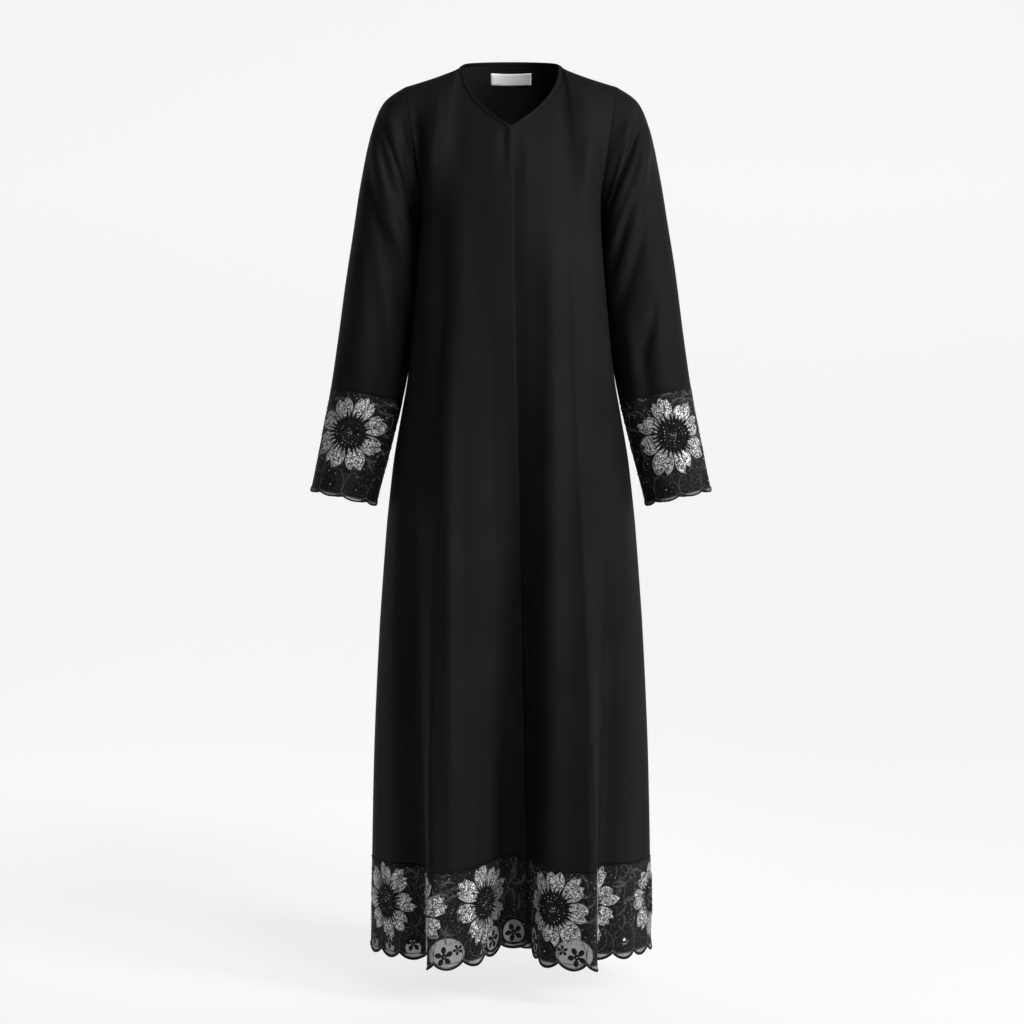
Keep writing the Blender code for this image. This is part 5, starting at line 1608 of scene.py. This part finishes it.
def hem_surface(name, places):
    """The lace's surface on the hem: distances along it, points, normals and distances down."""
    shares = share_of(places)
    downs = np.linspace(0.0, LACE_TOP_Z - HEM_Z, LACE_ROWS)
    grid = np.array([skirt_ring(LACE_TOP_Z - d, shares) for d in downs])
    normals = grid_normals(grid, from_axis(grid))
    if name == "hem_lace_front_left":
        grid = grid - normals * under_offset(shares)[None, :, None]
    moved = drifted(shares, HEM_Z)
    along = np.where(moved >= -0.1, moved * LEFT_LENGTH, LEFT_LENGTH + (1.0 + moved) * RIGHT_LENGTH)
    if name == "hem_lace_front_right":
        along = -moved * RIGHT_LENGTH
    if name == "hem_lace_back":
        along = metres_of(places) - JOINT_SHARE * LEFT_LENGTH
    return along, grid, normals, downs


def cuff_surface(side, front):
    """The lace's surface on half a cuff."""
    sign = 1.0 if front else -1.0
    coarse = sign * np.linspace(0.0, math.pi, 10)
    tops, bottoms = sleeve_ring(coarse, CUFF_TOP_SHARE, side), sleeve_ring(coarse, 1.0, side)
    middles = (tops + bottoms) / 2
    lengths = np.concatenate([[0.0], np.cumsum(np.linalg.norm(np.diff(middles, axis=0), axis=1))])
    height = float(np.mean(np.linalg.norm(bottoms - tops, axis=1)))
    angles = sign * np.linspace(0.0, math.pi, CUFF_COLUMNS)
    along = np.interp(np.abs(angles), np.abs(coarse), lengths)
    shares = np.linspace(CUFF_TOP_SHARE, 1.0, CUFF_ROWS)
    wide = np.concatenate([[-sign * 0.03], angles, [angles[-1] + sign * 0.03]])
    grid = np.array([sleeve_ring(wide, s, side) for s in shares])
    normals = grid_normals(grid, grid - arm_line(shares, side))[:, 1:-1]
    return along, grid[:, 1:-1], normals, np.linspace(0.0, height, CUFF_ROWS)


def arm_line(shares, side):
    """The middle of a sleeve at shares of its length."""
    rings = np.array([table_at(SLEEVE_RINGS, s * (len(SLEEVE_RINGS) - 1)) for s in shares])
    x = side * (rings[:, 0] + rings[:, 2]) / 2
    return np.stack([x, np.zeros_like(x), (rings[:, 1] + rings[:, 3]) / 2], axis=1)[:, None, :]


def make_lace(name, surface, scallop_width, shapes, finishes, cover=0.0):
    """One lace piece: its net, its dark thread work and its silver flowers. Its first stretch, cover long,
    lies under another piece, so nothing but the scallops' work is on it."""
    along, grid, normals, downs = surface
    lace = Lace(name, along, grid, normals, downs, scallop_width)
    start = lace.start + cover
    drawing = LaceDrawing(lace, FLOWERS[name], LOBE_KINDS[name])
    drawing.draw_ground(start)
    drawing.draw_edge(start)
    make_net(drawing, finishes["net"])
    make_flowers(drawing, shapes, finishes)
    lace.piece("edge_cords", *cords_mesh(drawing.edge_cords, EDGE_CORD, 0.0001), finishes["cord"])
    lace.piece("seam_cords", *cords_mesh(drawing.seam_cords, SEAM_CORD), finishes["seam_cord"])
    lace.piece("cords", *cords_mesh(drawing.cords, GROUND_CORD), finishes["grey_cord"])
    stems = cords_mesh(drawing.fine_cords, FERN_STEM, profile=SLIM_PROFILE)
    lace.piece("fern_stems", *stems, finishes["grey_cord"])
    if drawing.pale_cords:
        lace.piece("pale_cords", *cords_mesh(drawing.pale_cords, PALE_CORD, 0.0002), finishes["silver_cord"])
    lace.piece("dark_work", *cushions(drawing.dark_outlines, 0.0007, 0.0002), finishes["cord"])
    place_spikes(lace, "leaflets", shapes["spike"], drawing.leaflets, 0.0016, 0.0008, 0.0001,
                 finishes["grey_cord"])
    place_beads(lace, "sparks", shapes["bead"], drawing.beads, finishes["bead"])


def make_binding(material):
    """The strip that binds the neckline: a soft roll from its free edge to its seam. It gives the line of its
    stitches, with normals."""
    lefts = np.linspace(0.0, 1.0, 40) ** 0.8
    rights = lefts[::-1]
    backs = np.linspace(1.0, 0.0, 26)
    runs = (
        (lefts, True, 1.0),
        (backs[1:], False, 1.0),
        (backs[::-1][1:], False, -1.0),
        (rights[1:], True, -1.0),
    )
    free, sewn = [], []
    for shares, front, side in runs:
        free.append(neck_curve(shares, 0.0, front) * (side, 1.0, 1.0))
        sewn.append(neck_curve(shares, BINDING_WIDTH, front) * (side, 1.0, 1.0))
    free, sewn = np.concatenate(free), np.concatenate(sewn)
    middle = (free + sewn) / 2
    count = len(free)
    across = sewn - free
    normal = np.cross(across, np.gradient(middle, axis=0))
    normal /= np.linalg.norm(normal, axis=1, keepdims=True)
    outward = middle - (0.0, 0.0, -0.3)
    normal *= math.copysign(1.0, float(np.sum(normal * outward)))
    under = UNDER_DEPTH * (1.0 - eased(np.arange(count) / 4.0))
    profile = ((0.0, -0.0006), (0.05, 0.0), (0.2, 0.0004), (0.4, 0.0004), (0.65, 0.0003), (0.9, 0.0002),
               (1.02, 0.0001), (1.0, -0.0012), (0.6, -0.0015), (0.15, -0.0014))
    length, metres = even_shares(middle)
    rings = []
    for width, out in profile:
        pucker = 0.00012 * np.sin(length * 690.0 + 3.0 * np.sin(length * 37.0)) * (1.0 if out > 0 else 0.0)
        rings.append(free + across * width + normal * (out + pucker - under)[:, None])
    points = np.stack(rings, axis=1).reshape(-1, 3)
    sides = len(profile)
    faces = []
    for k in range(count - 1):
        for s in range(sides):
            t = (s + 1) % sides
            faces.append((k * sides + s, (k + 1) * sides + s, (k + 1) * sides + t, k * sides + t))
    faces.append(tuple(range(sides)))
    faces.append(tuple((count - 1) * sides + s for s in range(sides))[::-1])
    uvs = np.stack([np.repeat(length * metres, sides), np.tile(np.arange(sides) * 0.0012, count)], axis=1)
    obj = new_object("neck_binding_strip", points, faces, uvs, material)
    edit_all(obj, bpy.ops.mesh.normals_make_consistent, inside=False)
    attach(obj, "root")
    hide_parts("neck_binding")
    line = sewn + (free - sewn) * 0.18 + normal * (0.0005 - under)[:, None]
    return line, normal


def make_stitches(name, lines, shape, material, pitch, length, width):
    """Stitches along lines of points and normals."""
    points, faces = shape
    all_points, all_faces = [], []
    base = 0
    for line, normals in lines:
        share, total = even_shares(line)
        places = np.arange(pitch, total - pitch, pitch) / total
        here = at_share(line, places)
        forward = at_share(line, places + 0.3 * pitch / total) - here
        forward /= np.linalg.norm(forward, axis=1, keepdims=True)
        up = np.stack([np.interp(places, share, normals[:, k]) for k in range(3)], axis=1)
        up -= forward * np.sum(up * forward, axis=1, keepdims=True)
        up /= np.linalg.norm(up, axis=1, keepdims=True)
        side = np.cross(up, forward)
        for h, f, u, s in zip(here, forward, up, side):
            all_points.append(h + points[:, :1] * f * length / 2 + points[:, 1:2] * s * width
                              + points[:, 2:] * u * width * 0.7)
            all_faces += [tuple(base + v for v in face) for face in faces]
            base += len(points)
    obj = new_object(name, np.concatenate(all_points), all_faces, None, material)
    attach(obj, "root")


def make_label(back_grid, satin, thread, stitch):
    """The blank satin label inside the back neck, with its two ends folded under."""
    middle = np.abs(back_grid[0, :, 0]) < 0.06
    lines = back_grid[: YOKE_ROWS // 2][:, middle]
    downs = np.linspace(LABEL_TOP_Z, LABEL_TOP_Z - LABEL_HEIGHT, 10)
    wides = np.linspace(-LABEL_WIDTH / 2, LABEL_WIDTH / 2, 34)
    rows = []
    for z in downs:
        crossing = []
        for k in range(lines.shape[1]):
            column = lines[::-1, k]
            crossing.append([np.interp(z, column[:, 2], column[:, axis]) for axis in (0, 1)])
        crossing = np.array(crossing)
        order = np.argsort(crossing[:, 0])
        y = np.interp(wides, crossing[order, 0], crossing[order, 1]) - CREPE - 0.0016
        fold = 0.0005 * np.exp(-(((np.abs(wides) - LABEL_WIDTH / 2) / 0.003) ** 2))
        y = y + fold - 0.0002 * np.sin(wides * 160.0) * math.sin((LABEL_TOP_Z - z) * 180.0)
        rows.append(np.stack([wides, y, np.full_like(wides, z)], axis=1))
    grid = np.array(rows)
    points = grid.reshape(-1, 3)
    forward = np.array([0.0, -1.0, 0.0])
    faces = facing_out(points, grid_faces(len(rows), len(wides)), forward)
    obj = new_object("neck_label_satin", points, faces, points[:, [0, 2]], satin)
    thicken(obj, SATIN)
    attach(obj, "root")
    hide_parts("neck_label")
    sum_area(grid)
    ends = []
    for column in (1, -2):
        line = grid[:, column] + forward * 0.0002
        ends.append((line, np.tile(forward, (len(line), 1))))
    make_stitches("label_stitches", ends, stitch, thread, 0.0022, 0.0015, 0.0003)


def make_sweep(material):
    """A seamless pale sweep: a floor that curves up into a backdrop."""
    bpy.ops.object.select_all(action="DESELECT")
    bpy.ops.mesh.primitive_plane_add(size=2.0)
    sweep = bpy.context.object
    sweep.name = "studio_sweep"
    sweep.scale = (7.0, 3.5, 1.0)
    sweep.location = (0.0, -1.0, FLOOR_Z)
    bpy.ops.object.transform_apply(location=True, rotation=True, scale=True)
    bpy.ops.object.mode_set(mode="EDIT")
    bpy.ops.mesh.select_all(action="DESELECT")
    bpy.ops.object.mode_set(mode="OBJECT")
    for vertex in sweep.data.vertices:
        vertex.select = vertex.co.y > 0
    for edge in sweep.data.edges:
        edge.select = all(sweep.data.vertices[v].co.y > 0 for v in edge.vertices)
    bpy.ops.object.mode_set(mode="EDIT")
    step = SWEEP_RADIUS * 0.5 * math.pi / SWEEP_STEPS
    for k in range(SWEEP_STEPS):
        angle = (k + 0.5) / SWEEP_STEPS * 0.5 * math.pi
        bpy.ops.mesh.extrude_region_move(
            TRANSFORM_OT_translate={"value": (0.0, step * math.cos(angle), step * math.sin(angle))})
    bpy.ops.mesh.extrude_region_move(TRANSFORM_OT_translate={"value": (0.0, 0.0, 4.0)})
    bpy.ops.object.mode_set(mode="OBJECT")
    sweep.data.materials.append(material)
    sweep.data.shade_smooth()


def make_backdrop(material):
    """A pale round wall about the sweep, for the views from the sides and behind. Only the camera sees it."""
    bpy.ops.object.select_all(action="DESELECT")
    bpy.ops.mesh.primitive_uv_sphere_add(
        segments=48, ring_count=24, radius=WALL_RADIUS, location=(0.0, 0.0, FLOOR_Z))
    wall = bpy.context.object
    wall.name = "studio_wall"
    bpy.ops.object.transform_apply(location=True, rotation=True, scale=True)
    wall.data.materials.append(material)
    wall.data.shade_smooth()
    wall.visible_diffuse = wall.visible_glossy = wall.visible_transmission = wall.visible_shadow = False


def make_camera():
    data = bpy.data.cameras.new("camera")
    data.sensor_fit = "HORIZONTAL"
    data.sensor_width = SENSOR
    distance = -CAMERA_PLACE[1]
    data.lens = PIXELS_PER_METRE * distance * SENSOR / IMAGE_SIZE
    camera = bpy.data.objects.new("camera", data)
    camera.location = CAMERA_PLACE
    camera.rotation_euler = (math.radians(90), 0.0, 0.0)
    SCENE.collection.objects.link(camera)
    SCENE.camera = camera


def area_light(name, place, target, size, power, spread=180):
    data = bpy.data.lights.new(name, "AREA")
    data.shape = "RECTANGLE"
    data.size, data.size_y = size
    data.energy = power
    data.spread = math.radians(spread)
    light = bpy.data.objects.new(name, data)
    light.location = place
    light.rotation_euler = (Vector(target) - Vector(place)).to_track_quat("-Z", "Y").to_euler()
    SCENE.collection.objects.link(light)


def make_studio():
    paper = sweep_finish()
    make_sweep(paper)
    make_backdrop(paper)
    area_light("key", (3.0, -1.9, 0.2), (0.0, 0.0, -0.65), (1.0, 2.4), 112)
    area_light("fill", (-2.4, -2.8, 0.9), (0.0, 0.0, -0.3), (1.6, 1.6), 2)
    area_light("front", (1.1, -1.7, 1.5), (0.0, 0.0, 0.1), (0.8, 0.8), 5.4, 50)
    world = bpy.data.worlds.new("studio")
    world.use_nodes = True
    world.node_tree.nodes["Background"].inputs["Color"].default_value = (0.95, 0.95, 0.95, 1.0)
    world.node_tree.nodes["Background"].inputs["Strength"].default_value = 0.045
    SCENE.world = world
    SCENE.view_settings.view_transform = "Standard"


make_camera()
make_studio()
finishes = {
    "net": net_finish(),
    "cord": cord_finish("black_cord_finish", (0.0020, 0.0020, 0.0022), (0.010, 0.010, 0.0105)),
    "grey_cord": cord_finish("grey_cord_finish", (0.016, 0.016, 0.017), (0.150, 0.150, 0.152)),
    "seam_cord": cord_finish("seam_cord_finish", (0.006, 0.006, 0.0063), (0.016, 0.016, 0.0164)),
    "petal": petal_finish(),
    "sequin": sequin_finish(),
    "silver_cord": silver_cord_finish(),
    "bead": bead_finish(),
}
shapes = {
    "sequin": unit_shape("circle", dished, vertices=6, radius=1.0, fill_type="TRIFAN"),
    "spike": unit_shape("cone", laid_flat, vertices=4, radius1=0.5, depth=1.0),
    "bead": unit_shape("ico_sphere", subdivisions=1, radius=1.0),
}
crepe = crepe_finish()
thread = cord_finish("thread_finish", (0.006, 0.006, 0.0063), (0.020, 0.020, 0.0205))
white_thread = silver_cord_finish()

left_places = spaced_round(-UNDER_LAP, 0.5, FRONT_COLUMNS)
right_places = spaced_round(-0.5, OVER_LAP, FRONT_COLUMNS)
crepe_panel("front_left", left_places, True, crepe, under_offset)
edge_grid, edge_normals = crepe_panel("front_right", right_places, True, crepe)
back_grid = crepe_panel("back", spaced_round(0.5, 1.5, BACK_COLUMNS), False, crepe)[0]
for side, word in ((1.0, "left"), (-1.0, "right")):
    crepe_sleeve(f"sleeve_{word}", side, crepe)
binding_line, binding_normals = make_binding(crepe)

hem_places = {
    "hem_lace_front_left": np.linspace(-UNDER_LAP, JOINT_SHARE, 420),
    "hem_lace_front_right": np.linspace(OVER_LAP, -0.5, 380),
    "hem_lace_back": np.linspace(JOINT_SHARE, 1.5, 620),
}
for name, places in hem_places.items():
    cover = COVERED_LACE if name == "hem_lace_front_left" else 0.0
    make_lace(name, hem_surface(name, places), HEM_SCALLOP_WIDTH, shapes, finishes, cover)
for side, word in ((1.0, "left"), (-1.0, "right")):
    for front, half in ((True, "front"), (False, "back")):
        make_lace(f"cuff_lace_{word}_{half}", cuff_surface(side, front), CUFF_SCALLOP_WIDTH, shapes, finishes)

seam_lines = [
    (edge_grid[:, -2] + edge_normals[:, -2] * 0.0001, edge_normals[:, -2]),
    (binding_line, binding_normals),
]
make_stitches("edge_stitches", seam_lines, shapes["bead"], thread, 0.0032, 0.0021, 0.00042)
make_label(back_grid, satin_finish(), white_thread, shapes["bead"])
